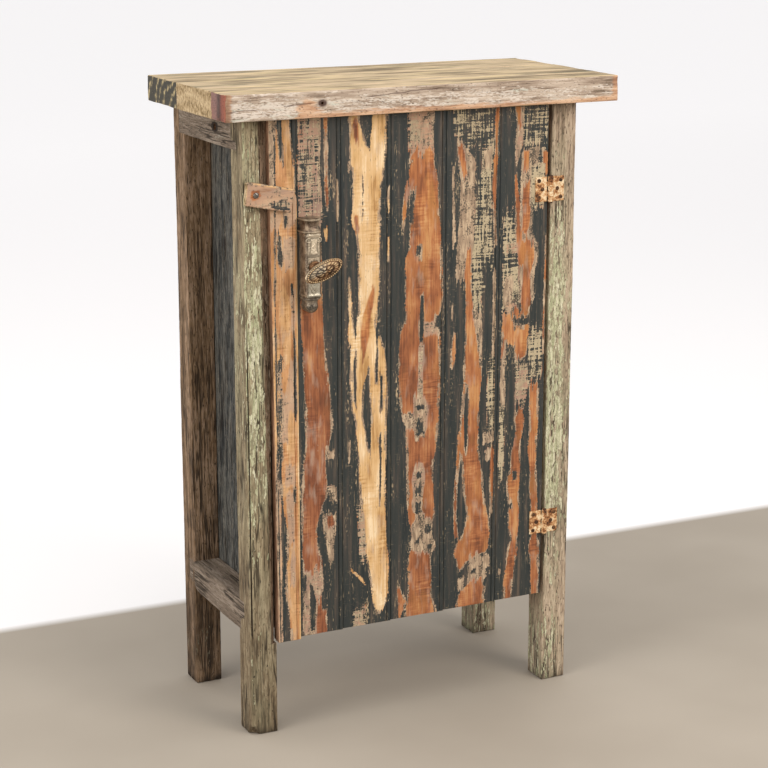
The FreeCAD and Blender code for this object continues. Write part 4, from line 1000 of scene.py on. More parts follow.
# each row has a tone and the strokes laid with it, and a stroke has levels with its left and right edge
STROKES = {1: (
    ("orange", ((TOP, -252, -188), (640, -250, -188), (600, -227, -188), (500, -228, -188),
      (400, -229, -188), (370, -225, -188), (330, -220, -188), (260, -221, -188), (230, -223, -188),
      (200, -217, -188), (FOOT, -212, -188))),
    ("amber", ((TOP, -227, -218), (930, -224, -212), (880, -218, -206), (840, -215, -204))),
    ("rubbed", ((842, -250, -203), (800, -250, -203))),
    ("amber", ((700, -230, -213), (660, -231, -214), (620, -226, -211), (590, -222, -212))),
    ("rubbed", ((600, -212, -203), (540, -222, -203), (500, -224, -206))),
    ("amber", ((520, -220, -203), (480, -222, -203), (440, -216, -206)),
     ((410, -228, -214), (380, -226, -212)),
     ((300, -216, -202), (260, -218, -202), (220, -220, -203), (180, -212, -202), (FOOT, -210, -203)),
     ((635, -250, -229), (560, -250, -229), (440, -250, -232), (415, -250, -234))),
    ("beige", ((TOP, -250, -236), (880, -250, -238), (840, -250, -241))),
    ("hazed", ((780, -224, -204), (735, -222, -206)), ((700, -212, -204), (640, -211, -205)),
     ((545, -228, -215), (470, -227, -217)), ((430, -220, -204), (400, -222, -204)),
     ((385, -222, -206), (345, -218, -206), (310, -216, -206)), ((285, -213, -204), (240, -214, -205))),
    ("rubbed", ((420, -242, -231), (300, -242, -229), (FOOT, -240, -227))),
    ("coat", ((400, -237.4, -235), (300, -237, -234.6), (FOOT, -235, -232)),
     ((TOP, -234, -228), (940, -233, -226), (900, -229, -225)),
     ((TOP, -214, -186), (940, -212, -186), (900, -207, -186), (850, -204, -186)),
     ((932, -239, -236), (860, -238.6, -236), (800, -239, -236.8), (640, -239.2, -237.4),
      (430, -238.4, -236)), ((790, -232, -229), (770, -232, -228), (755, -233, -225), (742, -230, -226)),
     ((815, -223, -217), (800, -221, -218)), ((712, -212, -208), (694, -211, -207)),
     ((632, -207, -204), (540, -207, -203), (505, -205, -203)),
     ((600, -233, -231), (520, -234, -231.5), (440, -235, -232)), ((390, -208, -205), (374, -208, -205))),
    ("cream", ((815, -203, -188), (600, -202, -188), (300, -199.5, -188), (FOOT, -198, -188))),
), 2: (
    ("scuffed", ((TOP, -200, -166), (900, -200, -166), (850, -199, -162), (800, -199, -158))),
    ("coat", ((905, -196, -186), (880, -194, -182), (858, -190, -183)),
     ((940, -199, -194), (920, -198, -194))),
    ("beige", ((TOP, -167, -163), (900, -166, -163), (850, -167, -163))),
    ("orange", ((TOP, -159, -152), (900, -158, -151), (850, -156, -150), (820, -154, -149))),
    ("cream", ((793, -158, -150), (775, -157, -151))),
    ("beige", ((862, -137, -134), (810, -137, -133), (800, -136, -134))),
    ("orange", ((780, -196, -162), (668, -196, -159), (620, -193, -157), (580, -192, -152),
      (550, -190, -147), (520, -189, -144), (480, -189, -141), (460, -188, -147), (430, -192, -154),
      (400, -193, -152), (375, -194, -151), (350, -195, -162), (320, -195, -169), (300, -194, -167),
      (275, -194, -160), (250, -192, -159), (235, -190, -160))),
    ("brown", ((500, -186, -158), (450, -186, -156), (380, -190, -162))),
    ("greyed", ((255, -192, -158), (220, -192, -157), (FOOT, -192, -155))),
    ("coat", ((235, -181, -176), (205, -180, -170), (160, -178, -172)),
     ((250, -190, -186), (225, -191, -187))),
    ("orange", ((205, -170, -152), (170, -170, -150), (FOOT, -168, -150))),
    ("coat", ((222, -160, -151), (192, -160, -152))),
    ("beige", ((350, -160, -136), (320, -157, -136), (290, -152, -139), (262, -146, -140))),
    ("orange", ((342, -153, -137), (322, -150, -138))),
    ("beige", ((446, -151, -139), (432, -150, -140)), ((386, -149, -136), (364, -148, -134))),
), 3: (
    ("cream", ((TOP, -119, -53), (930, -116, -53), (900, -117, -55), (870, -118, -59), (850, -111, -62),
      (820, -111, -63), (800, -113, -63), (780, -105, -64), (750, -100, -65), (700, -100, -63),
      (660, -101, -66), (630, -106, -68), (600, -114, -55), (560, -113, -50), (520, -112, -49),
      (500, -108, -49), (480, -104, -50), (450, -100, -50), (400, -98, -50), (350, -94, -51),
      (320, -92, -50), (280, -85, -47), (250, -82, -45), (220, -76, -44), (200, -75, -44), (180, -70, -50),
      (163, -64, -58)), ((712, -118, -114), (660, -117, -109), (630, -117, -107), (600, -116, -106))),
    ("coat", ((TOP, -102, -77), (945, -99, -79), (925, -92, -82), (903, -85, -82)),
     ((872, -121, -111), (850, -121, -110)), ((700, -113, -101), (650, -107, -103), (622, -105, -103))),
    ("brown", ((948, -111, -102), (915, -106, -101)), ((806, -108, -102), (784, -104, -99))),
    ("coat", ((640, -71, -66), (600, -69, -66), (540, -70, -66))),
    ("orange", ((692, -77, -73), (670, -86, -74), (650, -93, -79), (620, -96, -81), (600, -94, -86),
      (584, -92, -90))),
    ("coat", ((560, -87, -82), (520, -90, -80), (495, -91, -77), (465, -85, -77), (432, -81, -78)),
     ((556, -62, -58), (505, -61, -58)), ((455, -63, -59), (360, -61, -59)),
     ((590, -107, -104), (520, -106, -103)), ((862, -94.5, -92.5), (810, -94, -92))),
    ("mottled", ((345, -100, -88), (300, -98, -86), (260, -94, -84)), ((185, -106, -84), (FOOT, -108, -86))),
    ("cream", ((249, -113, -109), (242, -108, -101), (232, -98, -90), (221, -89, -84)),
     ((844, -52, -49), (828, -53, -48), (812, -51, -48)), ((769, -52, -48), (735, -52, -48))),
    ("beige", ((460, -116, -112), (420, -116, -112))),
), 4: (
    ("greyed", ((TOP, -19, 25), (930, -18, 25), (900, -14, 26), (880, -17, 29))),
    ("mottled", ((TOP, -20, 4), (905, -18, 2))),
    ("orange", ((895, -12, 24), (870, -16, 30), (850, -17, 34), (800, -14, 37), (750, -14, 42),
      (735, -20, 43), (700, -20, 44), (665, -20, 46), (640, -19, 40), (625, -27, 40), (600, -30, 42),
      (550, -31, 44), (520, -29, 43), (495, -26, 41), (478, -18, 41), (450, -17, 40), (430, -16, 37),
      (400, -15, 32), (350, -14, 33), (320, -11, 37), (300, -6, 30), (285, -3, 32), (265, -6, 38),
      (250, -11, 31), (210, -10, 32), (180, -12, 34), (165, -14, 40), (FOOT, -14, 44)),
     ((850, -22, -14), (820, -26, -18), (800, -28, -20), (780, -27, -24))),
    ("coat", ((838, -13, -6), (815, -14, -7), (790, -13, -8))),
    ("beige", ((488, -26, -4), (465, -17, 0))),
    ("greyed", ((630, 12, 42), (612, 14, 42))),
    ("coat", ((670, 7, 11), (640, 5, 13), (620, 6, 12), (598, 6, 10)), ((752, -2, 7), (738, -2, 5)),
     ((642, 34, 48), (622, 32, 48))),
    ("mottled", ((592, 4, 13), (540, 3, 12), (500, 1, 14))),
    ("greyed", ((514, -5, 16), (490, -3, 22), (460, -2, 20), (446, 2, 14)),
     ((404, 0, 16), (380, -5, 18), (352, -3, 15), (344, -6, 12), (318, -2, 13))),
    ("coat", ((500, 1, 15), (492, 1, 16)), ((476, 1, 13), (452, 2, 16)), ((390, 3, 12), (382, 3, 11)),
     ((368, 1, 10), (354, 1, 11)), ((340, 1, 11), (326, 2, 10))),
    ("beige", ((318, 6, 26), (304, -6, 31), (288, -3, 30), (272, -8, 38), (256, 6, 30))),
    ("coat", ((302, 20, 31), (290, 18, 30)), ((281, 3, 9), (274, 2, 9)), ((268, 24, 34), (262, 22, 30))),
    ("orange", ((203, -29, -24), (180, -28, -12), (156, -26, -22))),
), 5: (
    ("filmed", ((TOP, 58, 96), (930, 59, 95), (915, 62, 74)),
     ((TOP, 94, 130), (938, 94, 128), (900, 76, 126))),
    ("hatched", ((TOP, 60, 84), (945, 60, 78))),
    ("beige", ((915, 64, 72), (900, 65, 80), (880, 68, 97), (850, 72, 98), (800, 72, 98), (760, 69, 99),
      (740, 67, 102), (700, 67, 90), (690, 69, 80))),
    ("hatched", ((900, 108, 130), (860, 110, 128), (850, 100, 128), (800, 100, 128), (750, 98, 130),
      (720, 95, 134), (690, 96, 128), (660, 98, 112), (640, 98, 114))),
    ("beige", ((895, 112, 128), (862, 112, 126))),
    ("coat", ((890, 99, 110), (820, 98, 110), (750, 100, 108)),
     ((725, 106, 136), (690, 112, 136), (640, 116, 134))),
    ("orange", ((905, 65, 77), (870, 72, 83), (850, 78, 85))),
    ("beige", ((868, 58, 61), (800, 59, 64), (745, 61, 66))),
    ("orange", ((960, 131, 138), (900, 131, 137), (850, 129, 137), (800, 130, 136), (745, 134, 139)),
     ((748, 87, 93), (700, 82, 95), (650, 85, 98), (620, 85, 108), (600, 86, 115), (550, 83, 116),
      (520, 82, 115), (480, 80, 113), (450, 79, 113), (420, 78, 113), (400, 82, 118), (350, 86, 124),
      (320, 92, 129), (300, 93, 134), (280, 88, 136), (260, 74, 136), (245, 72, 136), (230, 77, 96),
      (213, 82, 86))),
    ("beige", ((640, 98, 114), (600, 106, 115), (570, 110, 116))),
    ("orange", ((440, 75, 83), (400, 73, 81), (350, 70, 76), (300, 70, 76), (270, 72, 80))),
    ("coat", ((520, 88, 93), (480, 86, 93), (450, 86, 93), (425, 88, 92)),
     ((385, 80, 84), (350, 77, 84), (310, 78, 92), (272, 80, 84))),
    ("beige", ((236, 100, 138), (200, 98, 138), (188, 96, 120)), ((205, 80, 92), (180, 80, 90))),
    ("orange", ((196, 104, 124), (180, 84, 131), (165, 78, 129), (FOOT, 76, 130))),
    ("coat", ((214, 104, 112), (208, 103, 113)), ((216, 132, 140), (206, 130, 140)),
     ((204, 132, 146), (FOOT, 132, 146))),
    ("beige", ((700, 133, 139), (600, 134, 139), (550, 132, 138)), ((655, 60, 63), (630, 60, 63))),
    ("orange", ((612, 65, 69), (585, 60, 70), (560, 59, 67), (548, 60, 63))),
    ("hatched", ((560, 128, 140), (500, 126, 140), (440, 128, 140))),
    ("beige", ((444, 121, 140), (424, 122, 140)), ((412, 124, 138), (396, 126, 136))),
    ("orange", ((418, 135, 142), (350, 134, 141), (308, 136, 141))),
    ("coat", ((378, 124, 136), (362, 124, 134))),
), 6: (
    ("greyed", ((TOP, 164, 177), (930, 168, 182), (905, 168, 182), (880, 168, 176), (868, 168, 172))),
    ("orange", ((TOP, 166, 174), (940, 167, 176), (925, 170, 178))),
    ("filmed", ((TOP, 181, 226), (920, 182, 226), (886, 184, 224))),
    ("beige", ((892, 179, 212), (850, 180, 208), (800, 178, 206), (780, 178, 214), (755, 178, 210),
      (740, 182, 214), (700, 180, 212), (640, 180, 208))),
    ("orange", ((888, 214, 226), (862, 220, 226), (846, 222, 226)), ((888, 183, 193), (855, 182, 193))),
    ("hatched", ((862, 197, 222), (830, 198, 222), (800, 200, 222))),
    ("orange", ((840, 184, 196), (805, 182, 196), (790, 184, 200), (765, 184, 196)),
     ((848, 167, 172), (800, 170, 180), (750, 171, 184), (720, 174, 206), (700, 184, 200)),
     ((748, 190, 204), (720, 186, 208), (690, 186, 200), (650, 184, 203), (630, 184, 200))),
    ("hatched", ((792, 150, 166), (745, 150, 174), (700, 150, 178), (640, 150, 182))),
    ("mottled", ((742, 155, 174), (726, 156, 176))),
    ("beige", ((690, 152, 170), (645, 152, 168))),
    ("orange", ((636, 153, 204), (620, 152, 202), (590, 151, 200), (560, 151, 198), (548, 152, 172))),
    ("greyed", ((650, 154, 176), (634, 156, 172))),
    ("coat", ((722, 152, 176), (708, 152, 172)), ((790, 202, 222), (760, 202, 224), (742, 210, 222)),
     ((712, 208, 226), (660, 207, 222)), ((640, 204, 226), (620, 196, 226), (605, 206, 224)),
     ((622, 174, 204), (612, 176, 204)), ((582, 160, 174), (550, 159, 176), (505, 160, 177))),
    ("hatched", ((600, 200, 226), (520, 200, 226))),
    ("mottled", ((550, 177, 204), (505, 177, 200), (480, 178, 196))),
    ("beige", ((560, 150, 158), (505, 150, 160), (440, 150, 160))),
    ("orange", ((478, 178, 190), (455, 176, 196), (440, 181, 195), (420, 178, 191), (400, 172, 191),
      (378, 172, 190), (350, 164, 190), (335, 166, 189), (310, 170, 190), (275, 171, 190), (255, 175, 188),
      (235, 169, 189), (215, 168, 187), (200, 166, 184), (180, 164, 181), (FOOT, 166, 180))),
    ("coat", ((368, 177, 186), (358, 178, 184)), ((316, 168, 177), (308, 168, 175))),
    ("orange", ((515, 203, 221), (450, 205, 222), (400, 204, 220), (370, 208, 221), (340, 208, 223),
      (300, 212, 225), (258, 214, 225), (240, 210, 230), (200, 215, 230), (FOOT, 217, 231)),
     ((752, 225, 229), (600, 225, 229), (560, 225, 229))),
    ("beige", ((207, 153, 159), (199, 153, 159))),
    ("hatched", ((480, 150, 160), (400, 150, 160), (360, 150, 158))),
)}


def upright(z):
    """How far right the photographed strokes move at each level, where the door leans."""
    return 5.5 - 7.0 * (900.0 - z) / 750.0


def paint_fields(strokes, tint=((0, 0.0),), joints=()):
    """The fields of the sanded paint on one board, from its strokes in order and its wood's tint. Strokes end
    in frayed fingers along the grain, and dirt lines the joints behind."""
    def fields(skin, low, high):
        z = skin[:, 2]
        x = skin[:, 0] - upright(z)
        fray = drift(skin, (3.5, 12, 60), 83.0)
        soot = np.zeros(len(x))
        for joint in joints:
            soot = np.maximum(soot, 1.3 * smooth(-np.abs(skin[:, 0] - joint), -2.6, -0.6))
        bare = np.full(len(x), -12.0)
        look = np.zeros((3, len(x)))
        for tone, outline in ((tone, outline) for tone, *outlines in strokes for outline in outlines):
            left, right = [by_level([(row[0], row[edge]) for row in outline], z) for edge in (1, 2)]
            top, foot = outline[0][0], outline[-1][0]
            beyond = np.minimum(z - foot, top - z) + min(20.0, 0.25 * (top - foot)) * fray
            inside = np.minimum(x - left, right - x) * (1 + 4 / np.maximum(right - left, 2))
            inside = np.clip(np.minimum(inside, 0.6 * beyond + 0.5), -12, 12)
            if TONES[tone] is None:
                bare = np.minimum(bare, -inside)
                continue
            *looks, most = TONES[tone]
            share = smooth(inside, -1.2, 1.2)
            bare = np.maximum(bare, inside)
            bare = bare * (1 - share) + np.minimum(bare, most) * share
            for row, value in enumerate(looks):
                look[row] = look[row] * (1 - share) + value * share
        look[0] += by_level(tint, z) * (1 - look[0])
        return {"bare": bare, "pale": look[0], "veil": look[1], "hatch": look[2], "soot": soot}
    return fields


# how far each board's bare wood leans to dark rust, below 0, or to cream, above it, at some levels
TINTS = {
    1: ((FOOT, 0.2), (420, 0.25), (560, 0.3), (TOP, 0.35)),
    2: ((FOOT, -1.0), (480, -0.9), (600, -0.6), (TOP, -0.5)),
    3: ((FOOT, 0.0), (TOP, 0.0)),
    4: ((FOOT, -0.5), (480, -0.6), (720, -0.4), (820, 0.0), (TOP, 0.0)),
    5: ((FOOT, -0.45), (600, -0.3), (TOP, 0.0)),
    6: ((FOOT, -0.45), (600, -0.2), (TOP, 0.0)),
}
print("paint strokes:", sum(len(row) - 1 for rows in STROKES.values() for row in rows))

# %% [markdown]
# Each door board is a lattice block too, with finer lines on its face so that the paint's edges stay crisp.
# A bead runs beside the joint: lattice lines at its quirk are pressed in, and the bead itself is rounded.

# %% Door boards
BEAD, QUIRK, QUIRK_DEPTH, TONGUE = 7.0, 0.8, 1.5, 6.0
LIP_BACK, LIP_STEP, BODY_LEFT, LIP_ROOT = 11.5, 0.2, -233.5, -226.0
LIP_LEFT = ((147, -235.0), (957.5, -241.5))


def lip_shape(points, skin, low):
    """Board 1's left edge: a lip that leans with the leg's rebate, and the body set back behind it."""
    left = np.where(skin[:, 1] > LIP_BACK + 0.1, BODY_LEFT, by_level(LIP_LEFT, skin[:, 2]))
    share = (points[:, 0] - low[0]) / (LIP_ROOT - low[0])
    points[:, 0] = np.where(points[:, 0] < LIP_ROOT, left + share * (LIP_ROOT - left), points[:, 0])


def bead_shape(number):
    """Shapes board 1's lip, and the quirk and bead on the right edge of boards 1 to 5."""
    def shape(points, skin, low, high):
        if number == 1:
            lip_shape(points, skin, low)
        if number == 6:
            return
        x, y, _ = skin.T
        face = y < low[1] + 0.1
        from_quirk = x - (high[0] - TONGUE - BEAD)
        points[:, 1] += face * QUIRK_DEPTH * np.clip(1 - np.abs(from_quirk) / QUIRK, 0, 1)
        across = np.clip((from_quirk - QUIRK) / (BEAD - QUIRK), 0, 1)
        points[:, 1] += face * (from_quirk > QUIRK) * 0.9 * (2 * across - 1) ** 2
        behind = x > high[0] - TONGUE + 0.01
        points[:, 1] = np.where(behind, np.clip(points[:, 1], 8.0, 14.0), points[:, 1])
        points[:, 2] = np.where(behind, np.clip(points[:, 2], low[2] + 2, high[2] - 2), points[:, 2])
    return shape


def door_faces(centres, normals):
    """Paint in front, rubbed wood on the outer edges, end grain below and above, plain wood behind."""
    which = np.zeros(len(normals), int)
    which[(np.abs(normals[:, 0]) > 0.75) & (np.abs(centres[:, 0]) > 225)] = 3
    which[np.abs(normals[:, 2]) > 0.75] = 1
    which[normals[:, 1] > 0.5] = 2
    return which


for number in range(1, 7):
    node = f"door_board_{number}"
    low, high = block(node)
    quirk = high[0] - TONGUE - BEAD
    own = [quirk - QUIRK, quirk, quirk + QUIRK, quirk + 2, quirk + 3.5, quirk + 5, quirk + 6.2,
           high[0] - TONGUE, high[0] - TONGUE + 0.2]
    joints = (low[0],) * (number > 1) + (high[0] - TONGUE,) * (number < 6)
    extra = (own if number < 6 else (), (8.0, LIP_BACK, LIP_BACK + LIP_STEP, 14.0), ())
    timber(node, "door", [door_paint, door_end, inside_upright, pink_side], 2,
           (2.1, 5, 4.5), wear=0.9, dip=0.35, seed=60.0 + number, extra=extra, choose=door_faces,
           shape=bead_shape(number), fields=paint_fields(STROKES[number], TINTS[number], joints))

for number, node in enumerate(("door_ledge_bottom", "door_ledge_top")):
    timber(node, "door", [inside_level, sawn_level_end], 0, (16, 5, 5), wear=2.4,
           seed=70.0 + number)

# %% [markdown]
# The turn button is a scrap of the same sanded board, cut across and screwed to the leg. It hangs a little
# down towards the door, so it is made level, given its paint and wear, and then turned about its screw.

# %% Turn button
BUTTON_PIVOT = (-266.5, 850.5)
BUTTON_TILT = radians(12.0)
BUTTON_LOW = np.array([BUTTON_PIVOT[0] - 15.5, -11.4, BUTTON_PIVOT[1] - 17.7])
BUTTON_HIGH = np.array([BUTTON_PIVOT[0] + 61.0, -1.4, BUTTON_PIVOT[1] + 17.7])
BUTTON_STROKES = (
    ("orange", ((20, -18, 63), (-20, -18, 63))),
    ("rubbed", ((20, -18, 63), (-20, -18, 63))),
    ("hazed", ((14, 30, 63), (0, 38, 63), (-20, 22, 63))),
    ("orange", ((6, -8, 4), (-2, -9, 12), (-7, -8, 2))),
    ("hazed", ((2, 10, 26), (-6, 6, 24)), ((-9, 0, 30), (-20, -4, 30))),
    ("coat", ((-1, 40, 50), (-6, 36, 54))),
    ("mottled", ((-4, 26, 58), (-10, 22, 60))),
    ("coat", ((-9, 30, 52), (-13, 26, 60), (-15, 34, 50))),
    ("cream", ((20, -18, 62), (16.2, -18, 62)), ((20, -18, -14.0), (-14, -18, -14.6))),
)


def button_fields(skin, low, high):
    """The button's paint, from strokes about its screw."""
    about = skin - np.array([BUTTON_PIVOT[0], 0.0, BUTTON_PIVOT[1]])
    about[:, 0] += upright(about[:, 2])
    return paint_fields(BUTTON_STROKES)(about, low, high)


def button_shape(points, skin, low, high):
    """Stands the button's left end upright, rounds its corners more, then tilts it about its screw."""
    level = (skin[:, 2] - low[2]) / (high[2] - low[2])
    points[:, 0] += 4.0 * (0.5 - level) * smooth(-skin[:, 0], -(low[0] + 20), -low[0])
    corner = np.hypot(skin[:, 0] - low[0], high[2] - skin[:, 2])
    points[:, 2] -= 2.4 * smooth(-corner, -9, 0)
    x = points[:, 0] - BUTTON_PIVOT[0]
    z = points[:, 2] - BUTTON_PIVOT[1]
    points[:, 0] = BUTTON_PIVOT[0] + x * cos(BUTTON_TILT) + z * sin(BUTTON_TILT)
    points[:, 2] = BUTTON_PIVOT[1] - x * sin(BUTTON_TILT) + z * cos(BUTTON_TILT)


timber("turn_button", "turn_button", [button_paint, sawn_level_end], 0, (2.2, 2.5, 1.8),
       wear=2.4, dip=0.3, seed=80.0, shape=button_shape, fields=button_fields,
       bounds=(BUTTON_LOW, BUTTON_HIGH))

# %% [markdown]
# The handle case is an iron casting: a rimmed collar above, a box with cut corners, and a rounded stub.
# Each part is a loft, a stack of plan outlines of one kind whose size changes with the level, as a pattern
# maker would turn it. The ornament stands on its front as thin casts of its own.

# %% Lofts
def loft(rings):
    """Points and faces through closed rings with equal numbers of points, and a cap on each end."""
    count = len(rings[0])
    faces = []
    for start in range(0, (len(rings) - 1) * count, count):
        for i in range(count):
            j = (i + 1) % count
            faces.append((start + i, start + j, start + count + j, start + count + i))
    faces.append(tuple(range(count)))
    faces.append(tuple(range((len(rings) - 1) * count, len(rings) * count)))
    return np.concatenate([np.asarray(ring, float) for ring in rings]), faces


def joined(parts):
    """Several point and face lists as one."""
    points, faces, start = [], [], 0
    for more_points, more_faces in parts:
        points.append(more_points)
        faces += [tuple(start + int(i) for i in face) for face in more_faces]
        start += len(more_points)
    return np.concatenate(points), faces


def face_outwards(thing):
    """Merges doubles and turns every face of a closed mesh outwards."""
    shape = bmesh.new()
    shape.from_mesh(thing.data)
    bmesh.ops.remove_doubles(shape, verts=shape.verts, dist=0.00002)
    bmesh.ops.recalc_face_normals(shape, faces=shape.faces)
    shape.to_mesh(thing.data)
    shape.free()
    thing.data.set_sharp_from_angle(angle=SHARP)


# %% Handle case
CASE_X, KNOB_Z = -180.9, 740.0
CASE_DEPTH = 27.0
HALF_ROUND_Y = 14.0 - CASE_DEPTH
CASE_LEFT, CASE_RIGHT, CASE_LOW, CASE_HIGH = -194.4, -167.4, 693.0, 790.0
COLLAR = ((790.0, 14.2), (790.7, 15.2), (792.4, 15.5), (793.4, 14.8), (794.6, 13.2), (798, 12.3),
          (802, 12.2), (805.5, 12.9), (807.6, 13.8), (808.5, 15.1), (809.6, 15.5), (811.2, 15.4),
          (812.0, 14.2))
STUB = ((693.0, 13.0), (692.3, 14.0), (690.2, 14.0), (689.4, 12.6), (688.4, 10.6), (684.5, 9.6), (681, 10.1),
        (677.5, 10.5), (673.5, 9.1), (670.4, 6.5), (668.7, 3.5), (668.1, 1.1))


def half_round_ring(level, radius):
    """A plan outline that is flat against the door and round in front."""
    sides = np.linspace(0, HALF_ROUND_Y, 5)[:-1]
    turns = np.linspace(0, pi, 25)
    right = [(CASE_X + radius, y, level) for y in sides]
    front = [(CASE_X + radius * cos(t), HALF_ROUND_Y - radius * sin(t), level) for t in turns]
    left = [(CASE_X - radius, y, level) for y in sides[::-1]]
    return right + front + left


def case_ring(level, inset):
    """The box's plan outline with its two front corners cut off and softened."""
    x0, x1 = CASE_LEFT + inset, CASE_RIGHT - inset
    front = 1.2 - CASE_DEPTH + inset
    cut = 3.0
    corners = [(x1, 0), (x1, front + cut + 1), (x1 - 0.5, front + cut - 0.4), (x1 - cut + 0.4, front + 0.5),
               (x1 - cut - 1, front), (x0 + cut + 1, front), (x0 + cut - 0.4, front + 0.5),
               (x0 + 0.5, front + cut - 0.4), (x0, front + cut + 1), (x0, 0)]
    ring = []
    for (xa, ya), (xb, yb) in zip(corners, corners[1:]):
        for share in (0, 0.5):
            ring.append((xa + (xb - xa) * share, ya + (yb - ya) * share, level))
    return ring + [(x0, 0, level)]


box_levels = [(CASE_LOW, 1.0), (CASE_LOW + 1.2, 0.1), (CASE_LOW + 4, 0.0), (CASE_LOW + 5, 0.7)]
box_levels += [(level, 0.8) for level in np.linspace(CASE_LOW + 7, CASE_HIGH - 8, 14)]
box_levels += [(CASE_HIGH - 6, 0.7), (CASE_HIGH - 5, 0.0), (CASE_HIGH - 1.2, 0.1), (CASE_HIGH, 1.0)]


def both_sides(right, low, high):
    """A plate's outline, from its right half and the levels where it meets the middle below and above."""
    return [*right, (0, low), *[(-x, z) for x, z in right[::-1]], (0, high)]


def relief_plate(outline, base, height, slope=0.9):
    """A thin raised plate on the case's front, with sloping sides, from its outline in X and Z."""
    shape = np.array(outline, float)
    middle = shape.mean(axis=0)
    inner = middle + (shape - middle) * (1 - slope / np.linalg.norm(shape - middle, axis=1))[:, None]
    return loft([[(CASE_X + x, y, z) for x, z in ring] for ring,
                 y in ((shape, base), (inner, base - height))])


FACE_Y = 2.0 - CASE_DEPTH
PANEL_FLARE, SHIELD_Z = 753.0, 722.0
panel = both_sides([(8.6, 786), (7.4, 780), (6.8, 773), (7.0, 765), (8.2, 759), (10.6, 754.5)], PANEL_FLARE,
                   787)
inner_panel = [(0.62 * x, 770.5 + 0.72 * (z - 770.5)) for x, z in panel]
lozenge = [(0, 776.5), (2.4, 771.5), (0, 766.5), (-2.4, 771.5)]
shield = both_sides([(11.2, SHIELD_Z), (10.2, 713), (6.2, 706), (2.8, 700)], 697.6, 716)
hollow = both_sides([(7.4, 718), (5.8, 711)], 703, 712.5)
boss_turns = np.linspace(0, 2 * pi, 60, endpoint=False)
boss = [((11.0 + cos(12 * t)) * cos(t), KNOB_Z + (11.0 + cos(12 * t)) * sin(t)) for t in boss_turns]
case_parts = [loft([half_round_ring(level, radius) for level, radius in COLLAR]),
              loft([case_ring(level, inset) for level, inset in box_levels]),
              loft([half_round_ring(level, radius) for level, radius in STUB]),
              relief_plate(panel, FACE_Y + 0.5, 1.2), relief_plate(inner_panel, FACE_Y - 0.5, 0.9, 1.0),
              relief_plate(lozenge, FACE_Y - 1.2, 0.8, 1.3), relief_plate(shield, FACE_Y + 0.5, 1.4),
              relief_plate(hollow, FACE_Y - 0.6, 1.0, 1.2), relief_plate(boss, FACE_Y + 0.5, 1.2)]


def case_fields(points):
    """Where the casting is rubbed bright, where it stays black and where it has a bluish bloom. The collar's
    right side is a painted highlight, its rims are rubbed and carry a painted highlight, and the left sides
    are painted shade.
    """
    x, y, z = points.T
    x = x - CASE_X
    box = (z > CASE_LOW + 0.5) & (z < CASE_HIGH - 0.5)
    raised = box & (y < FACE_Y + 0.4)
    rub = 0.12 * (z > CASE_HIGH) + 0.18 * (z < CASE_LOW)
    # a painted highlight on the collar's right side, and its two rims rubbed bright with a painted highlight
    # on them
    rub += 0.4 * smooth(x, 2, 10) * (z > CASE_HIGH) + 0.4 * (np.abs(z - 791.8) < 1.4)
    rub += 0.4 * (np.abs(z - 810.2) < 1.6)
    rub = np.where(box, 0.26, rub) + np.where(z < SHIELD_Z + 2, 0.3, 0.5) * raised
    rub += 0.3 * (raised & (y < FACE_Y - 0.6) & (z > PANEL_FLARE))
    cold = np.where(raised & (z < SHIELD_Z + 2), 0.45, 0.25 * (z < CASE_LOW))
    # painted shade on the box's left flank; the face round the ornament keeps soot in its hollows
    soot = 0.12 * smooth(-x, 8, 13) + 0.35 * (box & ~raised & (y < FACE_Y + 2.5))
    soot += 0.6 * (raised & (y > FACE_Y - 0.75) & (y < FACE_Y - 0.45)) + 0.5 * (raised & (y > FACE_Y))
    # painted shade on the collar's left side
    soot = np.where(~box & (z > CASE_HIGH), 0.3 * smooth(-x, 6, 14), soot)
    return {"rub": rub, "soot": soot, "cold": cold}


case_points, case_faces = joined(case_parts)
handle_case = make("handle_case_cast", case_points, case_faces, [case_iron], case_fields(case_points))
face_outwards(handle_case)

# %% [markdown]
# What repeats comes from Geometry Nodes: the case's small volutes, the row of beads round the knob and
# every screw and nail head. Each tree has its sizes as named inputs and ends in plain geometry with its
# finish, and its result is kept as a mesh.

# %% Trees that repeat a shape
def new_tree(name, sockets):
    """An empty tree with a geometry input and output and these named inputs."""
    tree = bpy.data.node_groups.new(name, "GeometryNodeTree")
    tree.interface.new_socket("Geometry", in_out="INPUT", socket_type="NodeSocketGeometry")
    for label, kind in sockets:
        tree.interface.new_socket(label, in_out="INPUT", socket_type="NodeSocket" + kind)
    tree.interface.new_socket("Geometry", in_out="OUTPUT", socket_type="NodeSocketGeometry")
    return tree, partial(add, tree), add(tree, "NodeGroupInput").node.outputs


def close_tree(tree, shapes, finish):
    """Realizes what the tree made, gives it its finish and sends it out."""
    solid = add(tree, "GeometryNodeRealizeInstances", {"Geometry": shapes})
    dressed = add(tree, "GeometryNodeSetMaterial", {"Geometry": solid, "Material": finish})
    end = tree.nodes.new("NodeGroupOutput")
    tree.links.new(dressed, end.inputs["Geometry"])
    return tree


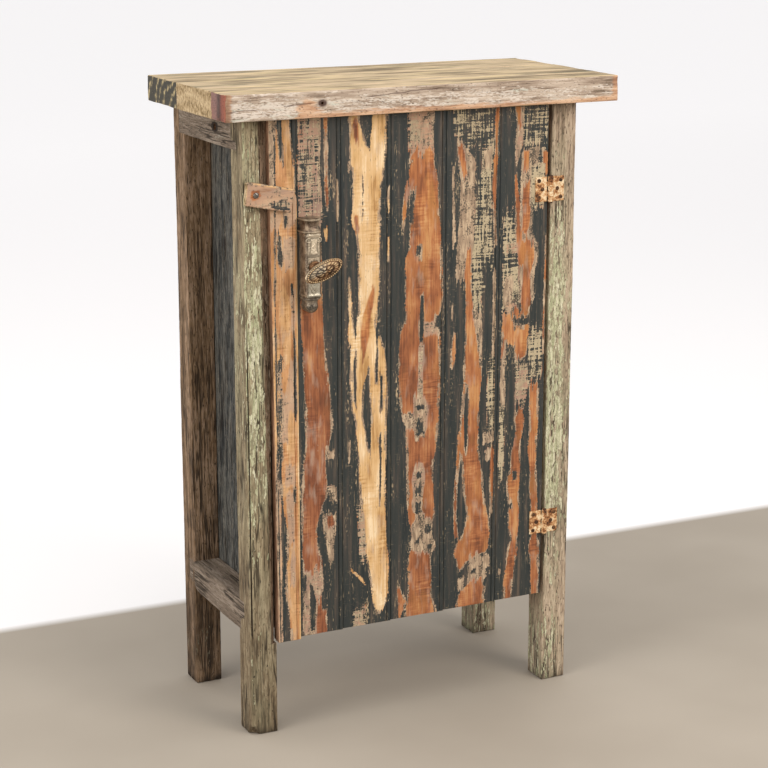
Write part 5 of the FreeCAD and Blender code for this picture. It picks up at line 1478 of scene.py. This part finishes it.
def volutes_tree():
    """A spiral tube on every point, scaled and turned by the point's own size and turn."""
    tree, put, given = new_tree("volutes_on_points",
                                (("Tube radius", "Float"), ("Outer radius", "Float"), ("Turns", "Float"),
                                 ("Finish", "Material")))
    spiral = put("GeometryNodeCurveSpiral",
                 {"Resolution": 22, "Rotations": given["Turns"], "Start Radius": given["Outer radius"],
                  "End Radius": 0.0005, "Height": 0.0})
    ring = put("GeometryNodeCurvePrimitiveCircle", {"Resolution": 8, "Radius": given["Tube radius"]})
    tube = put("GeometryNodeCurveToMesh", {"Curve": spiral, "Profile Curve": ring, "Fill Caps": True})
    size = put("GeometryNodeInputNamedAttribute", {"Name": "size"}, data_type="FLOAT_VECTOR")
    turn = put("GeometryNodeInputNamedAttribute", {"Name": "turn"}, data_type="FLOAT_VECTOR")
    placed = put("GeometryNodeInstanceOnPoints",
                 {"Points": given["Geometry"], "Instance": tube, "Rotation": turn, "Scale": size})
    return close_tree(tree, placed, given["Finish"])


def beads_tree():
    """Round beads along an oval, which is given by its two half axes."""
    tree, put, given = new_tree("beads_round_an_oval",
                                (("Long half axis", "Float"), ("Short half axis", "Float"), ("Count", "Int"),
                                 ("Bead radius", "Float"), ("Finish", "Material")))
    circle = put("GeometryNodeCurvePrimitiveCircle", {"Resolution": 96, "Radius": 1.0})
    axes = put("CombineXYZ", {"X": given["Long half axis"], "Y": given["Short half axis"], "Z": 1.0})
    oval = put("GeometryNodeTransform", {"Geometry": circle, "Scale": axes})
    even = put("GeometryNodeResampleCurve", {"Curve": oval, "Count": given["Count"]})
    bead = put("GeometryNodeMeshIcoSphere", {"Radius": given["Bead radius"], "Subdivisions": 2})
    placed = put("GeometryNodeInstanceOnPoints", {"Points": even, "Instance": bead})
    return close_tree(tree, placed, given["Finish"])


def heads_tree():
    """A head on every point, standing along the point's facing and spun at random by a fixed seed."""
    tree, put, given = new_tree("heads_on_points",
                                (("Head", "Object"), ("Seed", "Int"), ("Finish", "Material")))
    head = put("GeometryNodeObjectInfo", {"Object": given["Head"]}, out=4)
    facing = put("GeometryNodeInputNamedAttribute", {"Name": "facing"}, data_type="FLOAT_VECTOR")
    stand = put("FunctionNodeAlignRotationToVector", {"Vector": facing}, axis="Z")
    spin = put("FunctionNodeRandomValue", {2: 0.0, 3: 6.28, "Seed": given["Seed"]}, out=1)
    about = put("CombineXYZ", {"Z": spin})
    turned = put("FunctionNodeRotateRotation", {"Rotation": stand, "Rotate By": about},
                 rotation_space="LOCAL")
    placed = put("GeometryNodeInstanceOnPoints",
                 {"Points": given["Geometry"], "Instance": head, "Rotation": turned})
    return close_tree(tree, placed, given["Finish"])


def from_tree(name, tree, places, inputs, vectors=None):
    """Runs a tree over points given in drawing millimetres and keeps the result as a new piece's mesh."""
    mesh = bpy.data.meshes.new(name)
    mesh.from_pydata([tuple(p) for p in to_frame(np.array(places, float))], [], [])
    keep_fields(mesh, vectors or {}, "FLOAT_VECTOR", "vector", (3,))
    thing = show(name, mesh)
    modifier = thing.modifiers.new(tree.name, "NODES")
    modifier.node_group = tree
    for item in tree.interface.items_tree:
        if item.in_out == "INPUT" and item.name in inputs:
            modifier[item.identifier] = inputs[item.name]
    keep_result(thing)
    thing.data.shade_smooth()
    thing.data.set_sharp_from_angle(angle=radians(40))
    return thing


# %% Volutes on the case
volutes = volutes_tree()
upright_turn = (pi / 2, 0.0, 0.0)
places = [(CASE_X + side * reach, FACE_Y - 0.4, level)
          for reach, level in ((8.8, 780.5), (8.4, 719.5)) for side in (-1, 1)]
scrolls = from_tree("handle_volutes", volutes, places,
                    {"Tube radius": 0.0009, "Outer radius": 0.0044, "Turns": 1.6, "Finish": case_iron},
                    {"turn": [upright_turn] * 4,
                     "size": [(1, 1, 1), (-1, 1, 1), (0.8, 0.8, 1), (-0.8, 0.8, 1)]})
face_outwards(scrolls)
keep_fields(scrolls.data, {"rub": 0.62, "soot": 0.0, "cold": 0.2})
install(handle_case, "door", ["handle_case"])
install(scrolls, "door", [])

# %% [markdown]
# The knob is an oval cast button: a rosette in the middle, a ring of leaves, and beads round the rim. Its
# front is a set of oval rings whose height follows a petal formula, and its back narrows into a turned
# neck, a collar and the spindle that runs through the door.

# %% Knob
KNOB_Y, KNOB_TILT = -60.0, radians(22.0)
KNOB_LONG, KNOB_SHORT = 32.0, 14.0
# share of the rim's size, height in front of the rim, and how deep petals and leaves are cut
FACE_RINGS = ((0.015, 8.6, 0, 0), (0.07, 8.4, 0, 0), (0.11, 7.0, 0, 0), (0.15, 6.3, 0.3, 0),
              (0.22, 7.3, 1.4, 0), (0.32, 7.1, 1.6, 0), (0.41, 6.0, 1.2, 0), (0.455, 4.6, 0.2, 0),
              (0.49, 4.4, 0, 0.1), (0.54, 5.4, 0, 0.9), (0.64, 5.1, 0, 1.2), (0.73, 4.1, 0, 0.8),
              (0.77, 3.0, 0, 0.1), (0.82, 2.8, 0, 0), (0.93, 2.6, 0, 0), (0.975, 1.8, 0, 0),
              (1.0, 0.4, 0, 0), (0.985, -1.0, 0, 0), (0.92, -2.4, 0, 0), (0.74, -4.8, 0, 0),
              (0.5, -7.0, 0, 0), (0.3, -9.0, 0, 0))
NECK = ((-53.5, 5.4), (-50, 6.3), (-45, 5.4), (-39, 5.2), (-34, 6.4), (-31.6, 7.6), (-31.2, 9.0),
        (-30.4, 9.5), (-28.0, 9.5), (-27.2, 8.9), (-27.2, 5.0), (37.6, 5.0), (37.7, 3.0), (47.6, 3.0))
AROUND = np.linspace(0, 2 * pi, 96, endpoint=False)


def tilted(x, y, z):
    """A point of the knob's oval turned by its tilt, in the drawing."""
    return (CASE_X + x * cos(KNOB_TILT) - z * sin(KNOB_TILT), KNOB_Y - y,
            KNOB_Z + x * sin(KNOB_TILT) + z * cos(KNOB_TILT))


def knob_ring(share, height, petal, leaf):
    """One oval ring of the knob's face, with its petals and leaves."""
    ring = []
    for t in AROUND:
        lift = height - petal * (1 - abs(cos(4 * t))) - leaf * (1 - abs(cos(9 * t)) ** 0.7)
        ring.append(tilted(KNOB_LONG * share * cos(t), lift, KNOB_SHORT * share * sin(t)))
    return ring


# how bright each ring is rubbed, with its petals and leaves dark where they are cut deep
RING_RUB = (0.6, 0.5, 0.0, 0.0, 0.55, 0.65, 0.4, 0.0, 0.0, 0.4, 0.6, 0.5, 0.05, 0.1, 0.1, 0.55, 0.6, 0.3,
            0.1, 0.0, 0.0, 0.0)


def knob_fields(count):
    """The rings' wear, a painted cool reflection on the face's upper left and painted shade on its lower
    side, then plain iron for the neck.
    """
    rub, soot = np.zeros(count), np.full(count, 0.25)
    turns = AROUND
    for number, ((_, _, petal, leaf), worn) in enumerate(zip(FACE_RINGS, RING_RUB)):
        cut = petal * (1 - np.abs(np.cos(4 * turns))) + leaf * (1 - np.abs(np.cos(9 * turns)) ** 0.7)
        here = slice(number * len(turns), (number + 1) * len(turns))
        rub[here] = worn * (1 - 0.8 * np.clip(cut, 0, 1))
        soot[here] = 0.75 * np.clip(cut, 0, 1) + 0.55 * (worn < 0.2)
    around = np.tile(turns, len(FACE_RINGS))
    cold = np.zeros(count)
    # a painted cool reflection on the upper left of the face, and painted shade that dims the lower side
    cold[:len(around)] = 0.5 * smooth(np.cos(around - 2.3), 0.2, 0.9)
    rub[:len(around)] *= 1 - 0.5 * smooth(np.cos(around + 1.2), 0.1, 0.9)
    return {"rub": rub, "soot": soot, "cold": cold}


face_rings = [knob_ring(*row) for row in FACE_RINGS]
neck_rings = [[(CASE_X + r * cos(t), y, KNOB_Z + r * sin(t)) for t in AROUND[::3]] for y, r in NECK]
knob_points, knob_faces = joined([loft(face_rings), loft(neck_rings)])
knob = make("knob_cast", knob_points, knob_faces, [knob_iron], knob_fields(len(knob_points)))
face_outwards(knob)
beads = from_tree("knob_beads", beads_tree(), [(0, 0, 0)],
                  {"Long half axis": KNOB_LONG * 0.875 / MM, "Short half axis": KNOB_SHORT * 0.86 / MM,
                   "Count": 40, "Bead radius": 0.00125, "Finish": knob_iron})
stand = Matrix.Translation(to_frame(tilted(0, 3.1, 0))) @ Matrix.Rotation(-KNOB_TILT, 4, "Y")
beads.data.transform(stand @ Matrix.Rotation(pi / 2, 4, "X"))
keep_fields(beads.data, {"rub": 0.75, "soot": 0.0, "cold": 0.0})
install(knob, "knob", ["knob"])
install(beads, "knob", [])

# %% [markdown]
# The butt hinges are screwed flat on the faces of the door and the leg. Rust has eaten their edges and
# pitted their faces, so each leaf is a thin lattice plate with ragged sides, and its knuckles are short
# lofts.

# %% Hinges
HINGE_X, HINGE_Y, KNUCKLE_RADIUS, LEAF_REACH, LEAF_THICK = 235.25, -4.25, 4.25, 26.0, 2.0
KNUCKLES, KNUCKLE_GAP = 5, 0.3


def knuckle(z0, z1):
    """One knuckle round the pin, slightly worn at its ends."""
    rings = []
    for z, inset in ((z0, 0.7), (z0 + 0.6, 0.05), ((z0 + z1) / 2, 0.0), (z1 - 0.6, 0.05), (z1, 0.7)):
        radius = KNUCKLE_RADIUS - inset
        rings.append([(HINGE_X + radius * cos(t), HINGE_Y + radius * sin(t), z) for t in AROUND[::4]])
    return loft(rings)


def hinge_leaf(node, side, parity, seed):
    """A pitted leaf and its knuckles."""
    box_low, box_high = block(node)
    near, far = HINGE_X + side * (KNUCKLE_RADIUS + 0.4), HINGE_X + side * LEAF_REACH
    low = np.array([min(near, far), -LEAF_THICK, box_low[2]])
    high = np.array([max(near, far), 0.0, box_high[2]])
    skin, quads = lattice(*[lines(low[a], high[a], step) for a, step in enumerate((1.4, 1.0, 1.4))])
    points = round_arrises(skin, low, high, 0.6)
    ragged = np.clip(0.7 * drift(skin, (5, 5, 5), seed) + 0.5, 0, 1.2)
    points = sink(points, skin, low, high, ragged, axes=(0, 2))
    pits = 0.5 * smooth(drift(skin, (3.5, 3.5, 3.5), seed + 3), 0.05, 0.5)
    points[:, 1] += np.where(skin[:, 1] < low[1] + 0.01, pits, 0.0)
    pitch = (box_high[2] - box_low[2]) / KNUCKLES
    parts = [(points, quads.tolist())]
    x_edge = sorted((HINGE_X + side * 1.0, near + side * 0.8))
    for i in range(parity, KNUCKLES, 2):
        z0, z1 = box_low[2] + i * pitch + KNUCKLE_GAP / 2, box_low[2] + (i + 1) * pitch - KNUCKLE_GAP / 2
        parts.append(knuckle(z0, z1))
        strip, strip_quads = lattice(np.array(x_edge), np.array([-LEAF_THICK + 0.1, -0.02]),
                                     np.array([z0, z1]))
        parts.append((strip, strip_quads.tolist()))
    thing = make(node + "_rusted", *joined(parts), [hinge_rust])
    install(thing, "door" if side < 0 else "carcass", [node])


for number, place in enumerate(("upper", "lower")):
    hinge_leaf(f"hinge_{place}_leg_leaf", 1, 0, 90.0 + number)
    hinge_leaf(f"hinge_{place}_door_leaf", -1, 1, 94.0 + number)

# %% [markdown]
# Screw and nail heads stand where the working pieces have theirs: the solids' loose parts are read, the
# wide end of each is its head, and a tree puts a slotted or plain head there, each turned a little
# differently.

# %% Heads of screws and nails
HEAD_HEIGHT = 2.6


def loose_parts(node):
    """The separate solids of a working piece, each as its points in drawing millimetres."""
    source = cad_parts[node]
    shape = bmesh.new()
    shape.from_mesh(source.data)
    shape.transform(source.matrix_world)
    bmesh.ops.remove_doubles(shape, verts=shape.verts, dist=0.000002)
    left = set(shape.verts)
    parts = []
    while left:
        todo = [left.pop()]
        part = []
        while todo:
            vert = todo.pop()
            part.append(tuple(vert.co))
            for edge in vert.link_edges:
                other = edge.other_vert(vert)
                if other in left:
                    left.remove(other)
                    todo.append(other)
        parts.append((np.array(part) - ORIGIN) * MM)
    shape.free()
    return parts


def heads_in(node):
    """The outer middle of each head in a working piece, and the way it faces."""
    found = []
    for part in loose_parts(node):
        axis = int(np.argmax(np.ptp(part, axis=0)))
        others = [a for a in range(3) if a != axis]
        middle = (part.min(axis=0) + part.max(axis=0)) / 2
        away = np.hypot(*(part[:, others] - middle[others]).T)
        low_end, high_end = part[:, axis].min(), part[:, axis].max()
        at_low = away[part[:, axis] < low_end + HEAD_HEIGHT].max()
        at_high = away[part[:, axis] > high_end - HEAD_HEIGHT].max()
        end, sign = (low_end, -1.0) if at_low > at_high else (high_end, 1.0)
        place = middle.copy()
        place[axis] = end
        facing = np.zeros(3)
        facing[axis] = sign
        found.append((place, facing))
    return found


def head_model(name, radius, height, slot):
    """One head standing on its base: a low dome, with a sawn slot unless slot is 0. Sizes in millimetres."""
    shares = ((0.94, 0.0), (1.0, 0.18), (0.93, 0.55), (0.72, 0.85), (0.36, 1.0))
    turns = np.linspace(0, 2 * pi, 20, endpoint=False)
    points, faces = loft([[(radius * share * cos(t), radius * share * sin(t),
                            height * rise) for t in turns] for share, rise in shares])
    thing = make(name, points - ORIGIN * MM, faces, [])
    face_outwards(thing)
    if slot:
        place = Matrix.Translation((0, 0, height * 0.95 / MM))
        size = Matrix.Diagonal((2.4 * radius / MM, slot / MM, height / MM, 1.0))
        cut_with(thing, plain_mesh(name + "_saw", bmesh.ops.create_cube, size=1.0, matrix=place @ size))
    return thing


heads = heads_tree()
HEADS = (
    # node, body, head radius, height, slot width, how far the head's base lies under the solid's end, finish
    ("hinge_leg_screws", "carcass", 3.3, 1.2, 0.9, 0.2, screw_rust),
    ("hinge_door_screws", "door", 3.3, 1.2, 0.9, 0.2, screw_rust),
    ("ledge_screws", "door", 3.6, 0.9, 0.9, 0.1, screw_rust),
    ("keeper_screws", "carcass", 3.4, 1.8, 0.9, 1.8, screw_rust),
    ("carcass_nails", "carcass", 3.0, 1.1, 0.0, 1.0, screw_rust),
    ("button_screw", "carcass", 4.6, 2.4, 1.1, 2.4, screw_steel),
)
for number, (node, body, radius, height, slot, under, finish) in enumerate(HEADS):
    found = heads_in(node)
    model = head_model(node + "_head", radius, height, slot)
    screws = from_tree(node + "_heads", heads, [place - facing * under for place, facing in found],
                       {"Head": model, "Seed": 11 + number, "Finish": finish},
                       {"facing": [facing for _, facing in found]})
    bpy.data.objects.remove(model)
    install(screws, body, [node])
    print(node, len(found), "heads, the first at", [round(v, 1) for v in found[0][0]])

# %% Working pieces that stay as they are
KEPT = ((dowel_wood, "rail_dowels top_dowels"), (screw_rust, "hinge_upper_pin hinge_lower_pin"),
        (screw_steel, "button_washer"), (catch_steel, "door_catch catch_nut case_bolts"))
for finish, nodes in KEPT:
    for node in nodes.split():
        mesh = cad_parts[node].data
        mesh.materials.clear()
        mesh.materials.append(finish)
    print("kept:", nodes, "in", finish.name)

# %% [markdown]
# The studio is plain: a pale floor that turns white further back, where the photograph has a white wall,
# one large soft light from the front right and a bright, even sky. The camera stands where the photograph's
# did.

# %% Studio
WALL_Y, FLOOR_REACH = 613.0, 60.0


def floor_finish():
    """Pale grey-beige concrete that fades to white behind the cupboard."""
    finish, put, where = new_finish("pale_studio_floor", roughness=0.8, specular=0.2)
    cloud = lumps(put, where, (420, 420, 420), 4.0, 3.0)
    floor = put("ValToRGB", [cloud], stops=[(0.3, "#9f9689"), (0.7, "#aba295")])
    depth = put("SeparateXYZ", {"Vector": where}, out=1)
    wall = WALL_Y / MM + ORIGIN[1]
    back = put("MapRange", [depth, wall - 0.01, wall + 0.02])
    tone = put("Mix", {0: back, MIX_A: floor, MIX_B: colour("#f4f3f3")}, **MIX)
    far = put("MapRange", [depth, wall, wall + 6, 0.03, 0.14])
    glow = put("Math", [back, far], operation="MULTIPLY")
    surface = finish.node_tree.nodes["Principled BSDF"].inputs
    surface["Emission Color"].default_value = colour("#fffdfb")
    finish.node_tree.links.new(glow, surface["Emission Strength"])
    return dress(finish, tone, cloud, 0.2)


floor = show("studio_floor",
             plain_mesh("studio_floor", bmesh.ops.create_grid, x_segments=2, y_segments=2, size=FLOOR_REACH))
floor.data.materials.append(floor_finish())
floor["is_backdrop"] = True

world = bpy.data.worlds.new("studio_sky")
bpy.context.scene.world = world
world.use_nodes = True
sky = world.node_tree.nodes["Background"].inputs
sky["Color"].default_value = colour("#f8f7f8")
sky["Strength"].default_value = 0.92


def soft_light(name, place, aim, size, power, tint):
    """A large area light at a place in metres, aimed at a point."""
    data = bpy.data.lights.new(name, "AREA")
    data.shape = "DISK"
    data.size = size
    data.energy = power
    data.color = colour(tint)[:3]
    lamp = show(name, data)
    lamp.location = place
    lamp.rotation_euler = (Vector(aim) - Vector(place)).to_track_quat("-Z", "Y").to_euler()
    lamp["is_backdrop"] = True


soft_light("window_light", (1.5, -3.2, 2.3), (0.0, 0.0, 0.5), 2.2, 75.0, "#fff6ec")
soft_light("ceiling_light", (-0.4, -0.6, 3.4), (0.0, 0.0, 0.4), 2.6, 25.0, "#fffaf4")
soft_light("wall_bounce", (-3.4, -0.9, 1.5), (0.0, 0.1, 0.5), 2.4, 60.0, "#fff8f0")

# %% Camera
AZIMUTH, ELEVATION, DISTANCE = radians(-26.086), radians(14.199), 3350.5
LOOK_AT = np.array([20.17, 150.0, 498.92])
FOCAL_PIXELS, IMAGE_PIXELS, SENSOR = 2061.45, 768.0, 36.0
back = np.array([sin(AZIMUTH) * cos(ELEVATION), -cos(AZIMUTH) * cos(ELEVATION), sin(ELEVATION)])
camera_data = bpy.data.cameras.new("camera")
camera_data.sensor_width = SENSOR
camera_data.lens = FOCAL_PIXELS * SENSOR / IMAGE_PIXELS
camera = show("camera", camera_data)
camera.location = to_frame(LOOK_AT + back * DISTANCE)
camera.rotation_euler = Vector(-back).to_track_quat("-Z", "Y").to_euler()
bpy.context.scene.camera = camera
bpy.context.scene.view_settings.view_transform = "Standard"
print("camera lens", round(camera_data.lens, 2), "mm")

# %% Sizes
low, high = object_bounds()
